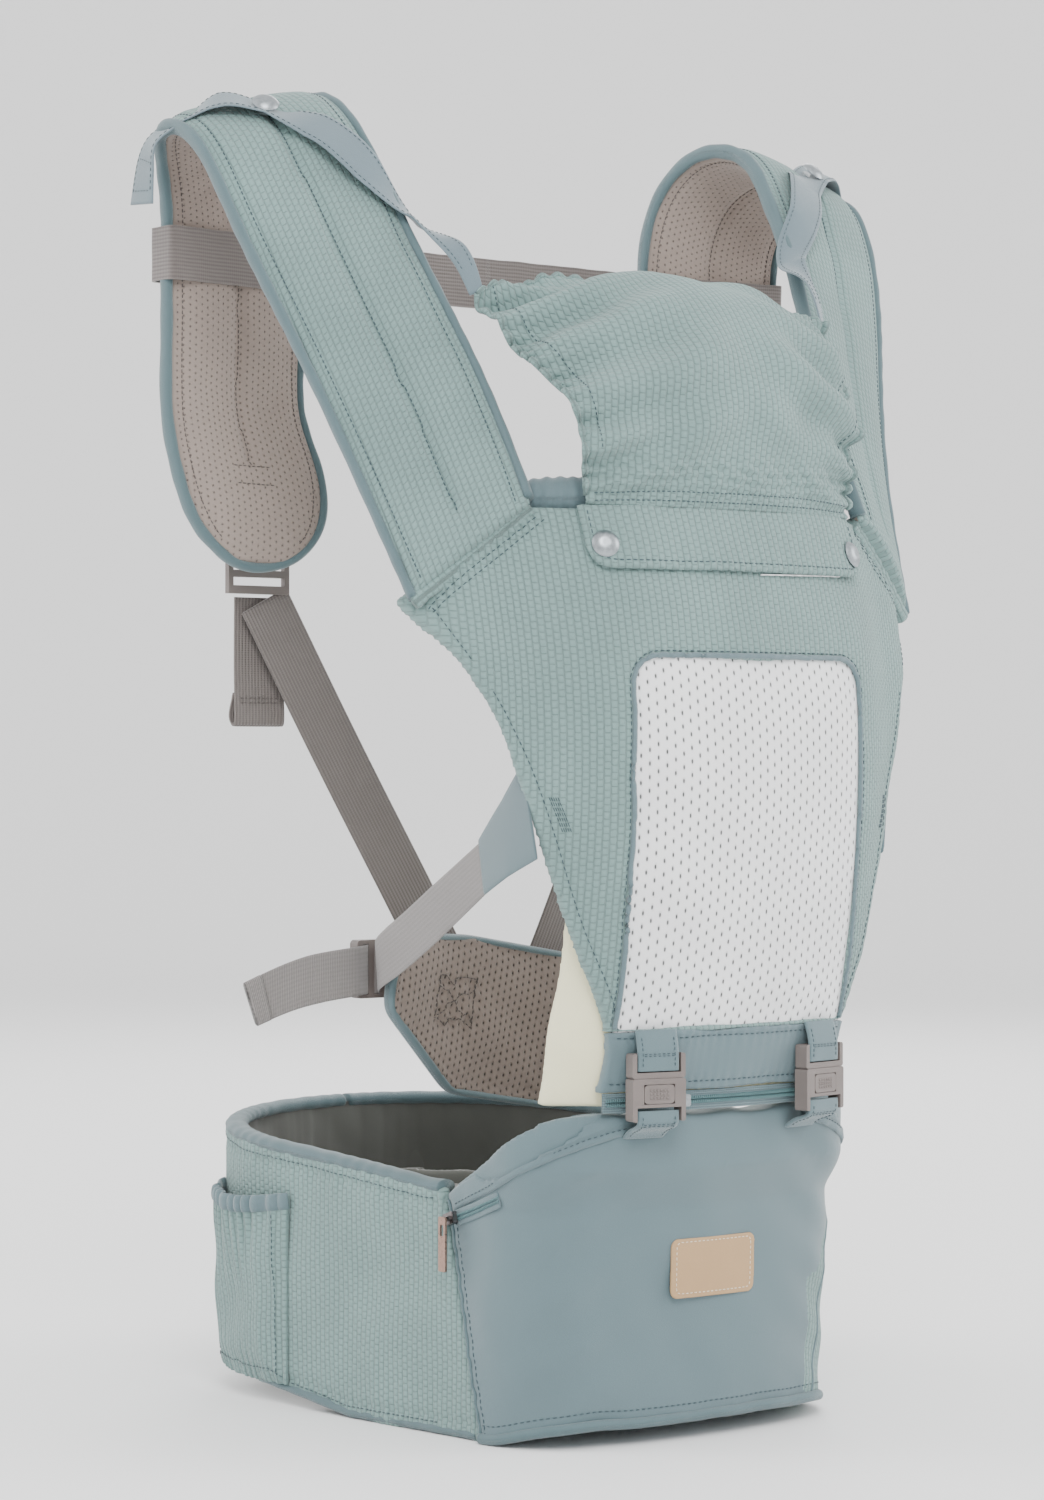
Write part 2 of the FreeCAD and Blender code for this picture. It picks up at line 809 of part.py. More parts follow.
def pouch_block(shrink):
    """The pouch's plan, a swelling band on the wing's outside, carried up."""
    start_turn, end_turn = POUCH_TURNS
    trim = shrink / size("belt_outer_a")
    turns = spread(start_turn - trim, end_turn + trim, 9)
    out = []
    for i, turn in enumerate(turns):
        swell = (POUCH_BULGE - POUCH_EDGE) * math.sin(math.pi * i / (len(turns) - 1))
        out.append(belt_point(turn, shrink - POUCH_GAP - POUCH_EDGE - swell))
    near = [belt_point(turn, -POUCH_GAP - shrink) for turn in turns]
    edges = [spline(out), line(out[-1], near[-1]), spline(near), line(near[0], out[0])]
    return face_of(edges).extrude(Vector(0, 0, POUCH_TOP - POUCH_LOW))


pouch = pouch_block(0)
hollow = pouch_block(POUCH_WALL)
hollow.translate(Vector(0, 0, POUCH_WALL))
pouch = pouch.cut(hollow)
pouch.translate(Vector(0, 0, POUCH_LOW))
feature("belt_pocket", one_solid(pouch))

# ---------------------------------------------------------------- hip seat


def seat_wire(z, inset, extra):
    """The seat's plan at a height: straight sides, round corners and a long front arc."""
    half = size("seat_half_width") - 0.3 * inset - extra
    corner = size("seat_corner") - extra
    front = size("front_radius") - extra
    front_y = size("seat_front_y") + inset + extra
    hub_x = half - corner
    turn = math.asin(hub_x / (front - corner))
    hub_y = front_y + front - (front - corner) * math.cos(turn)
    joint = Vector(hub_x + corner * math.sin(turn), hub_y - corner * math.cos(turn), z)
    side = Vector(half, hub_y, z)
    middle_turn = (turn + math.pi / 2) / 2
    middle = Vector(hub_x + corner * math.sin(middle_turn), hub_y - corner * math.cos(middle_turn), z)
    back = Vector(half, 120, z)

    def flip(point):
        return Vector(-point.x, point.y, point.z)

    edges = [line(back, side), Part.Arc(side, middle, joint).toShape(),
             Part.Arc(joint, Vector(0, front_y, z), flip(joint)).toShape(),
             Part.Arc(flip(joint), flip(middle), flip(side)).toShape(),
             line(flip(side), flip(back)), line(flip(back), back)]
    return Part.Wire(edges)


# (height, how far the front stands back there)
SEAT_TAPER = [(-12, 17), (145, 12), (170, 0), (225, 0)]


def seat_block(extra, top_drop, low_rise):
    """The seat's solid: tapered front, sloping top, bottom that rises towards the front."""
    wires = [seat_wire(z, inset, extra) for z, inset in SEAT_TAPER]
    block = Part.makeLoft(wires, True, True)
    top_rear = size("seat_top_rear") - top_drop
    top_front = size("seat_top_front") - top_drop
    side = [(130, low_rise), (-120, low_rise), (-215, 20 + low_rise), (-215, top_front - 3),
            (-196, top_front), (-176, top_front - 3), (-158, top_front - 13), (-86, top_rear + 2),
            (130, top_rear)]
    profile = prism([(-300, y, z) for y, z in side], (600, 0, 0))
    return block.common(profile)


skin = size("seat_skin")
seat_back = oval(LINING_INSET - 0.3 - FRONT_PANEL_WALL - 0.3)
core_side = wing_outline(wall + 0.3)
seat_whole = seat_block(0, 0, 0).cut(seat_back)
seat_core = seat_block(skin, skin + 2, skin).cut(oval(0.5))
seat_core = seat_core.common(core_side)
feature("seat_core", one_solid(seat_core))

envelope = seat_block(skin - 0.3, skin + 2 - 0.3, skin - 0.3)
top_zone = seat_block(skin - 0.3, 0.8, 0).cut(seat_block(skin - 0.3, skin + 1.7, -5))
top_zone = top_zone.cut(seat_back).common(core_side)
cover = seat_whole.common(seam_cut(-0.4)).cut(envelope).cut(top_zone)
feature("seat_cover", one_solid(cover))
feature("seat_top_pad", one_solid(top_zone.cut(oval(0))))

# ---------------------------------------------------------------- tabs and patch on the seat


def seat_inset(z):
    """How far the seat's front stands back at a height."""
    for (z0, i0), (z1, i1) in zip(SEAT_TAPER, SEAT_TAPER[1:]):
        if z <= z1:
            return i0 + (i1 - i0) * (z - z0) / (z1 - z0)
    return 0.0


def seat_front(x, z):
    """A point of the seat cover's front."""
    radius = size("front_radius")
    return Vector(x, size("seat_front_y") + seat_inset(z) + radius - math.sqrt(radius ** 2 - x * x), z)


PATCH_HALF = 33.0
PATCH_LOW = 88.0
PATCH_TOP = 125.0
patch_sheet = cloth(seat_front, spread(-45, 45, 7), spread(80, 134, 4), 1.8, 0.2)
patch_cut = box((-PATCH_HALF, -400, PATCH_LOW), (PATCH_HALF, 0, PATCH_TOP))
patch_cut = patch_cut.makeFillet(5, [e for e in patch_cut.Edges if e.Length > 300])
feature("leather_patch", one_solid(patch_sheet.common(patch_cut)))

# ---------------------------------------------------------------- centre push buckles

PUSH_X = 65.0
PUSH_Z = 228.0
PUSH_ANGLE = math.degrees(math.asin(PUSH_X / SIZES["front_radius"]))
PUSH_STAND = 10.8
BAR_FRONT = 3.0
TAB_HALF = 14.0
TAB_WALL = 2.6
PANEL_TAB = [(-2.9, 5.0), (-2.9, 16.0), (0.4, 29.0)]
SEAT_TAB = [(-2.9, -19.5), (-2.7, -27.0), (8.0, -32.0), (16.4, -37.0)]
push_y = panel_surface(PUSH_X, 225).y - PUSH_STAND


def push_place(side):
    """Where a push buckle sits: side -1 left, +1 right; local x across, z up, -y forward."""
    return Placement(Vector(side * PUSH_X, push_y, PUSH_Z), Rotation(Vector(0, 0, 1), side * PUSH_ANGLE))


def upright_edges(radius_edge):
    """Whether an edge runs along the local thickness."""
    ends = [vertex.Point for vertex in radius_edge.Vertexes]
    return len(ends) == 2 and abs(abs(ends[0].y - ends[1].y) - radius_edge.Length) < 1e-6 \
        and radius_edge.Length > 1.0


def push_housing(side):
    """The lower half: a body with a window for the button, a cavity and two legs with a bar."""
    body = new_body("push_housing_side", push_place(side))
    outline = new_sketch(body, "XZ_Plane", "outline")
    rectangle(outline, "push_width", "push_body + push_leg", 0, -(size("push_body") + size("push_leg")) / 2)
    pad(body, outline, "block", "push_wall", midplane=True)
    gap = new_sketch(body, "XZ_Plane", "leg_gap")
    rectangle(gap, "push_width - 6", "push_leg - 3", 0, -size("push_body") - (size("push_leg") - 3) / 2)
    pocket(body, gap, "legs", "push_wall + 2")
    bar = new_sketch(body, "XZ_Plane", "bar_front", BAR_FRONT)
    rectangle(bar, "push_width - 6", "push_leg - 3", 0, -size("push_body") - size("push_leg") + 2)
    pocket(body, bar, "bar_cut", "webbing_wall * 2.3")
    cavity = new_sketch(body, "XZ_Plane", "cavity", -2.5)
    rectangle(cavity, "push_width - 11", "push_body - 2", 0, -(size("push_body") - 2) / 2)
    pocket(body, cavity, "inside", "button_wall - 0.4")
    window = new_sketch(body, "XZ_Plane", "window", 3.0)
    rectangle(window, "button_width + 2 * button_gap", "button_height + 2 * button_gap", 0, -9.5)
    pocket(body, window, "window_cut", "push_wall - 2")
    doc.recompute()
    rounded(body, "corners", body.Tip, 1.6, lambda edge: upright_edges(edge)
            and abs(abs(edge.CenterOfMass.x) - size("push_width") / 2) < 1e-3)
    return body


def push_tongue(side):
    """The upper half: a fork with a bar for the tab and a tongue that enters the housing."""
    body = new_body("push_tongue_side", push_place(side))
    outline = new_sketch(body, "XZ_Plane", "outline")
    rectangle(outline, "push_width", "push_fork", 0, size("push_fork") / 2 + 0.15)
    pad(body, outline, "block", "push_wall - 1", midplane=True)
    gap = new_sketch(body, "XZ_Plane", "fork_gap")
    rectangle(gap, "push_width - 6", "push_fork - 6", 0, 0.15 + size("push_fork") / 2 + 0.5)
    pocket(body, gap, "fork", "push_wall + 2")
    bar = new_sketch(body, "XZ_Plane", "bar_front", BAR_FRONT)
    rectangle(bar, "push_width - 6", "push_fork - 9", 0, size("push_fork") - 0.2)
    pocket(body, bar, "bar_cut", "webbing_wall * 2.3")
    tongue = new_sketch(body, "XZ_Plane", "tongue", -2.5)
    rectangle(tongue, "push_width - 12", "push_body - 2", 0, -(size("push_body") - 2) / 2 + 1.0)
    pad(body, tongue, "tongue_pad", "button_wall - 1.4", midplane=True)
    doc.recompute()
    rounded(body, "corners", body.Tip, 1.6, lambda edge: upright_edges(edge)
            and abs(abs(edge.CenterOfMass.x) - size("push_width") / 2) < 1e-3)
    return body


def push_button(side, label):
    """The button: a rounded plate with three rows of low studs."""
    body = new_body(label, push_place(side))
    plate = new_sketch(body, "XZ_Plane", "plate", 3.4)
    rectangle(plate, "button_width", "button_height", 0, -9.5)
    solid = pad(body, plate, "plate_pad", "button_wall", midplane=True)
    rounded(body, "corners", solid, 2.4, upright_edges)
    doc.recompute()
    return keep(body, label)


housings = [push_housing(side) for side in (-1, 1)]
tongues = [push_tongue(side) for side in (-1, 1)]
group("push_buckle_housings", housings)
group("push_buckle_tongues", tongues)
push_button(-1, "push_button_left")
push_button(1, "push_button_right")


def tab(side, points):
    """A folded tab of cloth through points (forward, height) in the buckle's own frame."""
    half = Vector(TAB_HALF, 0, 0)
    middles = [Vector(0, forward, height) for forward, height in points]
    last = len(middles) - 1
    stations = []
    for i, middle in enumerate(middles):
        run = middles[min(i + 1, last)] - middles[max(i - 1, 0)]
        stations.append((middle, half, half.cross(run)))
    item = doc.addObject("Part::Feature", "tab_side")
    item.Shape = ribbon(stations, TAB_WALL)
    item.Placement = push_place(side)
    return item


group("panel_buckle_tabs", [tab(side, PANEL_TAB) for side in (-1, 1)])
group("seat_buckle_tabs", [tab(side, SEAT_TAB) for side in (-1, 1)])

# ---------------------------------------------------------------- zips

JOIN_Y = -209.0
JOIN_TAPE = (206.0, 218.4)
JOIN_COIL = (210.4, 214.6)
JOIN_TURN = math.radians(15.0)


def front_arc_band(radius_out, radius_in, low, high, turn):
    """A band bent round the seat's front centre line."""
    hub = Vector(0, JOIN_Y + size("front_radius"), low)

    def at(radius, angle):
        return hub + Vector(radius * math.sin(angle), -radius * math.cos(angle), 0)

    edges = [Part.Arc(at(radius_out, -turn), at(radius_out, 0), at(radius_out, turn)).toShape(),
             line(at(radius_out, turn), at(radius_in, turn)),
             Part.Arc(at(radius_in, turn), at(radius_in, 0), at(radius_in, -turn)).toShape(),
             line(at(radius_in, -turn), at(radius_out, -turn))]
    return face_of(edges).extrude(Vector(0, 0, high - low))


front_radius = size("front_radius")
tape = front_arc_band(front_radius, front_radius - 2.4, JOIN_TAPE[0], JOIN_TAPE[1], JOIN_TURN)
coil = front_arc_band(front_radius + 1.4, front_radius - 0.2, JOIN_COIL[0], JOIN_COIL[1], JOIN_TURN)
feature("join_zipper_chain", one_solid(tape.fuse(coil).removeSplitter()))


def slider_solid():
    """A zip slider: local x along the chain, z across it, y = 0 the tape's face, -y forward."""
    half = size("slider_length") / 2
    wide = size("slider_width") / 2
    wall = size("slider_wall")
    coil_half = (JOIN_COIL[1] - JOIN_COIL[0]) / 2 + 0.3
    plate = box((-half, -wall - 0.8, -wide), (half, -1.75, wide))
    plate = plate.makeFillet(1.5, [e for e in plate.Edges if abs(e.Length - (wall - 0.95)) < 1e-3])
    rails = box((-half + 1.5, -1.8, -wide), (half - 1.5, -0.35, -coil_half))
    rails = rails.fuse(box((-half + 1.5, -1.8, coil_half), (half - 1.5, -0.35, wide)))
    bridge = box((-half + 2.0, -wall - 2.6, -1.0), (half - 2.0, -wall - 0.8, 1.0))
    bridge = bridge.cut(box((-half + 3.4, -wall - 1.7, -2.0), (half - 3.4, -wall - 0.8, 2.0)))
    return plate.fuse(rails).fuse(bridge).removeSplitter()


JOIN_START_X = -39.0
join_turn = math.asin(JOIN_START_X / front_radius)
join_slider = slider_solid()
small_pull = box((-1.6, -7.6, -10.5), (1.6, -6.9, -1.4))
ring = box((-1.6, -7.6, -1.5), (1.6, -6.9, 0.4))
join_slider = join_slider.fuse(small_pull).fuse(ring)
slider_place = Placement(Vector(JOIN_START_X, JOIN_Y + front_radius - front_radius * math.cos(join_turn),
                                (JOIN_COIL[0] + JOIN_COIL[1]) / 2),
                         Rotation(Vector(0, 0, 1), math.degrees(join_turn)))
item = feature("join_zipper_slider", one_solid(join_slider))
item.Placement = slider_place

POCKET_X = -130.4
POCKET_START = Vector(POCKET_X, -99, 136)
POCKET_END = Vector(POCKET_X, -142, 151)
pocket_run = POCKET_END - POCKET_START
pocket_run.normalize()
pocket_side = pocket_run.cross(Vector(-1, 0, 0))
pocket_side.normalize()
chain = ribbon([(POCKET_START - pocket_run * 4, pocket_side * 4.0, (-1, 0, 0)),
                (POCKET_END + pocket_run * 6, pocket_side * 4.0, (-1, 0, 0))], 1.2)
teeth = ribbon([(POCKET_START - pocket_run * 4 + Vector(-1.0, 0, 0), pocket_side * 2.1, (-1, 0, 0)),
                (POCKET_END + pocket_run * 6 + Vector(-1.0, 0, 0), pocket_side * 2.1, (-1, 0, 0))], 1.6)
feature("pocket_zipper_chain", one_solid(chain.fuse(teeth).removeSplitter()))
pocket_slider_place = Placement(POCKET_START + Vector(-0.6, 0, 0),
                                Rotation(pocket_run, Vector(1, 0, 0), pocket_run.cross(Vector(1, 0, 0))))
item = feature("pocket_zipper_slider", one_solid(slider_solid()))
item.Placement = pocket_slider_place

PULL_TOP = Vector(POCKET_X - 9.6, POCKET_START.y, POCKET_START.z)
pull_body = new_body("pull_plate", Placement(PULL_TOP, Rotation()))
pull_outline = new_sketch(pull_body, "YZ_Plane", "outline")
rectangle(pull_outline, "pull_width", "pull_length", 0, -size("pull_length") / 2 + 1.5)
pull_pad = pad(pull_body, pull_outline, "plate", "pull_wall", midplane=True)
eye = new_sketch(pull_body, "YZ_Plane", "eye")
rectangle(eye, "pull_width - 4", "pull_length / 5", 0, -7)
pocket(pull_body, eye, "eye_cut", "pull_wall + 1")
doc.recompute()
rounded(pull_body, "corners", pull_body.Tip, 1.2, lambda edge: abs(edge.Length - size("pull_wall")) < 1e-3
        and abs(abs(edge.CenterOfMass.y) - size("pull_width") / 2) < 1e-3)
keep(pull_body, "pocket_zipper_pull")

# ---------------------------------------------------------------- side tabs and their webbing

side_tab = ribbon([((142, -190, 388), (4, 2, 29), (0.85, -0.5, 0)),
                   ((140, -166, 373), (1, 2, 23), (0.97, -0.2, 0)),
                   ((137, -139, 356), (0, 3, 17), (1, -0.1, 0))], TAB_WALL)
side_tabs = [doc.addObject("Part::Feature", "side_tab_part") for side in range(2)]
side_tabs[0].Shape = side_tab
side_tabs[1].Shape = mirrored(side_tab)
group("side_tabs", side_tabs)

RELEASE_X = 98.0
RELEASE_Y = 31.0
RELEASE_Z = {-1: 284.0, 1: 238.0}


def side_webbing(side):
    """The run from the tab to the ladder slot, and the free tail beyond it."""
    z = RELEASE_Z[side]
    slot_x = RELEASE_X + 6.5
    half = size("side_webbing_width") / 2
    wall = size("webbing_wall")
    drop = 356.0 - z
    run = ribbon([((side * 136.8, -136.5, 354.5), (0, 2.5, half), (side, 0, 0)),
                  ((side * 132, -80, 354.5 - 0.42 * drop), (0, 5, half), (side, -0.1, 0)),
                  ((side * 124, -20, 354.5 - 0.80 * drop), (0, 5, half), (side, -0.2, 0)),
                  ((side * 116.5, 9, 354.5 - 0.95 * drop), (0, 2, half), (side, -0.3, 0)),
                  ((side * slot_x, RELEASE_Y - 6.5, z), (0, 0, half), (side, -0.35, 0))], wall)
    tail_x = slot_x + 9.0
    tail = ribbon([((side * tail_x, RELEASE_Y - 6.6, z), (0, 0, half), (side * 0.5, -1, 0)),
                   ((side * (tail_x + 12), RELEASE_Y - 10, z - 1), (0, 0, half), (0, -1, 0)),
                   ((side * (tail_x + 42), RELEASE_Y - 2, z - 6), (side * 1.5, 0, half),
                    (-side * 0.3, -1, 0)),
                   ((side * (tail_x + 76), RELEASE_Y + 15, z - 21), (side * 5, 0, half - 2),
                    (-side * 0.45, -1, 0))], wall)
    items = []
    for shape in (run, tail):
        item = doc.addObject("Part::Feature", "side_webbing_part")
        item.Shape = shape
        items.append(item)
    return items


group("side_webbing_left", side_webbing(-1))
group("side_webbing_right", side_webbing(1))

# ---------------------------------------------------------------- side release buckles


def release_socket(label, place):
    """The female half: mouth at local x = 0, cavity for the prongs, side windows, webbing slot."""
    body = new_body(label, place)
    outline = new_sketch(body, "XY_Plane", "outline")
    rectangle(outline, "socket_length", "release_width", -size("socket_length") / 2, 0)
    pad(body, outline, "block", "release_wall", midplane=True)
    cavity = new_sketch(body, "XY_Plane", "cavity")
    rectangle(cavity, "prong_length + 3", "release_width - 5", -(size("prong_length") + 3) / 2, 0)
    pocket(body, cavity, "inside", "release_wall - 3")
    windows = new_sketch(body, "XY_Plane", "windows")
    rectangle(windows, "prong_length - 8", "release_width + 4", -14, 0)
    pocket(body, windows, "window_cut", "release_wall - 3")
    slot = new_sketch(body, "XY_Plane", "slot")
    rectangle(slot, "socket_length / 8", "2 * slot_half", -size("socket_length") + 5, 0)
    pocket(body, slot, "slot_cut", "release_wall + 2")
    doc.recompute()
    rounded(body, "corners", body.Tip, 3.0, lambda edge: is_corner(edge, size("socket_length")))
    return keep(body, label)


def is_corner(edge, reach):
    """Whether an edge is one of the far upright corners of a buckle half."""
    centre = edge.CenterOfMass
    ends = [vertex.Point for vertex in edge.Vertexes]
    upright_edge = len(ends) == 2 and abs(abs(ends[0].z - ends[1].z) - edge.Length) < 1e-6
    far = abs(abs(centre.x) - reach) < 0.5
    return upright_edge and far and abs(abs(centre.y) - size("release_width") / 2) < 1e-3


def release_plug(label, place):
    """The male half: a ladder of two slots, and a guide prong between the arms."""
    body = new_body(label, place)
    gap = 0.3
    outline = new_sketch(body, "XY_Plane", "outline")
    rectangle(outline, "plug_length", "release_width", gap + size("plug_length") / 2, 0)
    pad(body, outline, "block", "release_wall - 1", midplane=True)
    for name, x in (("inner_slot", 6.8), ("outer_slot", 15.8)):
        slot = new_sketch(body, "XY_Plane", name)
        rectangle(slot, "plug_length / 5", "2 * slot_half", x, 0)
        pocket(body, slot, name + "_cut", "release_wall + 2")
    guide = new_sketch(body, "XY_Plane", "guide")
    rectangle(guide, "prong_length - 2", "prong_wall + 2.4", gap + 0.4 - (size("prong_length") - 2) / 2, 0)
    pad(body, guide, "guide_pad", "release_wall / 2", midplane=True)
    doc.recompute()
    rounded(body, "corners", body.Tip, 3.0, lambda edge: is_corner(edge, size("plug_length") + gap))
    return keep(body, label)


def release_arm(label, place, side):
    """One sprung arm with its barb, side +1 or -1 along local y."""
    body = new_body(label, place)
    offset = side * size("prong_offset")
    arm = new_sketch(body, "XY_Plane", "arm")
    rectangle(arm, "prong_length", "prong_wall", -size("prong_length") / 2 - 0.1, offset)
    pad(body, arm, "arm_pad", "release_wall - 4", midplane=True)
    barb = new_sketch(body, "XY_Plane", "barb")
    rectangle(barb, "prong_length / 2.2", "prong_wall + 1.6", -14.3, offset + side * 4.0)
    pad(body, barb, "barb_pad", "release_wall - 4", midplane=True)
    doc.recompute()
    rounded(body, "root", body.Tip, 1.5, lambda edge: abs(edge.CenterOfMass.x + 0.1) < 1e-3
            and abs(edge.Length - (size("release_wall") - 4)) < 1e-3)
    doc.recompute()
    return keep(body, label)


WAIST_SPOT = Vector(-5, 242.8, 104)
BUCKLES = [
    ("left_buckle", Vector(-RELEASE_X, RELEASE_Y, RELEASE_Z[-1]), Vector(-1, 0, 0)),
    ("right_buckle", Vector(RELEASE_X, RELEASE_Y, RELEASE_Z[1]), Vector(1, 0, 0)),
    ("chest_buckle", Vector(-92, 50, SIZES["chest_height"]), Vector(1, 0, 0)),
    ("waist_buckle", WAIST_SPOT, Vector(1, 0, 0)),
]
for name, spot, heading in BUCKLES:
    place = Placement(spot, Rotation(heading, Vector(0, 0, 1), heading.cross(Vector(0, 0, 1))))
    release_socket(name + "_socket", place)
    release_plug(name + "_plug", place)
    release_arm(name + "_arm_upper", place, 1)
    release_arm(name + "_arm_lower", place, -1)

# ---------------------------------------------------------------- lumbar pad and back webbing

LUMBAR_OUTLINE = [(-88, 38), (-45, 43), (45, 43), (88, 38), (112, 11), (110, -12), (42, -58),
                  (-42, -58), (-110, -12), (-112, 11)]
ROLL = math.radians(SIZES["lumbar_roll"])


def lumbar_surface(u, v):
    """A point of the lumbar pad's middle surface, u along the pad, v up it."""
    along = Vector(math.cos(ROLL), 0, -math.sin(ROLL))
    up = Vector(math.sin(ROLL), 0, math.cos(ROLL))
    middle = Vector(0, size("lumbar_y") - 20.0 * (u / 110.0) ** 2, size("lumbar_z"))
    return middle + along * u + up * v


half_wall = size("lumbar_wall") / 2
lumbar_sheet = cloth(lumbar_surface, spread(-130, 130, 11), spread(-75, 60, 5), half_wall, -half_wall)
corners = [lumbar_surface(u, v) for u, v in LUMBAR_OUTLINE]
lumbar_cut = prism([(p.x, -300, p.z) for p in corners], (0, 600, 0))
lumbar_cut = lumbar_cut.makeFillet(9, [e for e in lumbar_cut.Edges if abs(e.Length - 600) < 1e-3])
feature("lumbar_pad", one_solid(lumbar_sheet.common(lumbar_cut)))

ADJUSTER = Vector(176, 60, 541)


def back_webbing(side):
    """The long webbing from the lumbar pad's back up to the shoulder pad's adjuster."""
    half = size("back_webbing_width") / 2
    low = Vector(side * 18, 36.5, 236)
    high = Vector(side * 171, 60, 524)
    run = high - low
    normal = Vector(0, 1, 0)
    across_run = run.cross(normal)
    across_run.normalize()
    item = doc.addObject("Part::Feature", "back_webbing_side")
    item.Shape = ribbon([(low, across_run * half, normal), (low + run * 0.22 + Vector(0, -2, 0),
                         across_run * half, normal), (low + run * 0.6, across_run * half, normal),
                         (high, across_run * half, normal)], size("webbing_wall"))
    return item


group("back_webbing", [back_webbing(side) for side in (-1, 1)])


def adjuster(side):
    """A ladder lock: a plate with two slots behind the shoulder pad's lower end."""
    place = Placement(Vector(side * ADJUSTER.x, ADJUSTER.y, ADJUSTER.z), Rotation())
    body = new_body("adjuster_side", place)
    outline = new_sketch(body, "XZ_Plane", "outline")
    rectangle(outline, "back_webbing_width + 8", "back_webbing_width - 12", 0, 0)
    pad(body, outline, "plate", "webbing_wall * 2.6", midplane=True)
    for name, z in (("upper_slot", 5.0), ("lower_slot", -5.0)):
        slot = new_sketch(body, "XZ_Plane", name)
        rectangle(slot, "back_webbing_width + 1", "webbing_wall * 3", 0, z)
        pocket(body, slot, name + "_cut", "release_wall")
    doc.recompute()
    return body


group("strap_adjusters", [adjuster(side) for side in (-1, 1)])


def hanging_tail(side):
    """The free end of the back webbing: it hangs straight down and ends in a folded hem."""
    half = Vector(size("back_webbing_width") / 2, 0, 0)
    x = side * 171
    y = 66.0
    top = 526.0
    low = 448.0
    wall = size("webbing_wall")
    tail = ribbon([((x, y, low), half, (0, 1, 0)), ((x, y, top), half, (0, 1, 0))], wall)
    hem = box((x - half.x, y - 3.0, low - 6), (x + half.x, y + 3.0, low + 12))
    hem = hem.makeFillet(2.4, [e for e in hem.Edges if abs(e.Length - 2 * half.x) < 1e-3])
    return tail.fuse(hem).removeSplitter()


feature("hanging_tail_left", one_solid(hanging_tail(-1)))
feature("hanging_tail_right", one_solid(hanging_tail(1)))

# ---------------------------------------------------------------- chest strap


def chest_loop(side):
    """A flat loop round the straight rear part of a shoulder pad."""
    middle = Vector(side * 196.5, 56, 0)
    along = Vector(-side * 107, 12, 0)
    along.normalize()
    rear = Vector(side * 12, 107, 0)
    rear.normalize()
    height = size("chest_webbing_width")
    low = size("chest_height") - height / 2
    wall = size("webbing_wall")

    def ring_block(more):
        reach = 55.6 + more
        front = -8.6 - more
        back = 11.6 + more
        points = [middle + along * -reach + rear * front, middle + along * reach + rear * front,
                  middle + along * reach + rear * back, middle + along * -reach + rear * back]
        return prism([(p.x, p.y, low) for p in points], (0, 0, height))

    outer = ring_block(wall)
    outer = outer.makeFillet(4, [e for e in outer.Edges if abs(e.Length - height) < 1e-3])
    inner = ring_block(0)
    inner = inner.makeFillet(2.4, [e for e in inner.Edges if abs(e.Length - height) < 1e-3])
    return outer.cut(inner)


def chest_run(start_x, start_y, end_x, end_y):
    """A straight flat run of the chest webbing between two places in plan."""
    height = size("chest_webbing_width")
    low = size("chest_height") - height / 2
    wall = size("webbing_wall") / 2
    points = [(start_x, start_y - wall, low), (end_x, end_y - wall, low), (end_x, end_y + wall, low),
              (start_x, start_y + wall, low)]
    return prism(points, (0, 0, height))


CHEST_SLOT_LEFT = -92 - SIZES["socket_length"] + 3.0
CHEST_SLOT_RIGHT = -92 + SIZES["plug_length"] - 2.0
left_part = chest_loop(-1).fuse(chest_run(-148, 52.4, CHEST_SLOT_LEFT, 50)).removeSplitter()
right_part = chest_loop(1).fuse(chest_run(148, 52.4, CHEST_SLOT_RIGHT, 50)).removeSplitter()
chest_parts = []
for shape in (left_part, right_part):
    item = doc.addObject("Part::Feature", "chest_strap_side")
    item.Shape = one_solid(shape)
    chest_parts.append(item)
group("chest_strap", chest_parts)

# ---------------------------------------------------------------- waist webbing


WAIST_TURNS = [70, 66, 60, 54, 48, 42, 36, 31]
WAIST_LIFT = 1.6


def waist_run(side, slot_x):
    """Webbing that leaves the buckle and follows the belt's back round to the side."""
    half = Vector(0, 0, size("side_webbing_width") / 2)
    z = WAIST_SPOT.z
    stations = [(Vector(side * slot_x, WAIST_SPOT.y, z), half, (0, 1, 0))]
    for turn in WAIST_TURNS:
        angle = math.radians(turn)
        point = belt_point(angle, -WAIST_LIFT)
        stations.append((Vector(side * point.x, point.y, z), half,
                         (side * math.cos(angle), math.sin(angle), 0)))
    wires = ribbon_wires(stations, size("webbing_wall"))
    item = doc.addObject("Part::Feature", "waist_webbing_side")
    item.Shape = Part.makeLoft(wires, True, True)
    return item


group("waist_webbing", [waist_run(-1, 5 + SIZES["socket_length"] - 3.0),
                        waist_run(1, -5 + SIZES["plug_length"] - 2.0)])

# ---------------------------------------------------------------- snaps


def snap_cap(place):
    """A domed cap with a flat rim, turned about local z."""
    body = new_body("snap_cap_side", place)
    sketch = new_sketch(body, "XZ_Plane", "profile")
    rim = size("snap_radius")
    dome = size("snap_dome")
    crown = Vector(rim * 0.2, dome, 0)
    low = Vector(rim, dome * 0.15, 0)
    bulge = Vector(rim * 0.70, dome * 0.74, 0)
    sketch.addGeometry(Part.LineSegment(Vector(0, 0, 0), Vector(rim, 0, 0)), False)
    sketch.addGeometry(Part.LineSegment(Vector(rim, 0, 0), low), False)
    sketch.addGeometry(Part.Arc(low, bulge, crown), False)
    sketch.addGeometry(Part.LineSegment(crown, Vector(0, dome, 0)), False)
    sketch.addGeometry(Part.LineSegment(Vector(0, dome, 0), Vector(0, 0, 0)), False)
    turn = body.newObject("PartDesign::Revolution", "turned")
    turn.Profile = sketch
    turn.ReferenceAxis = (sketch, ["V_Axis"])
    turn.Angle = 360
    doc.recompute()
    return body


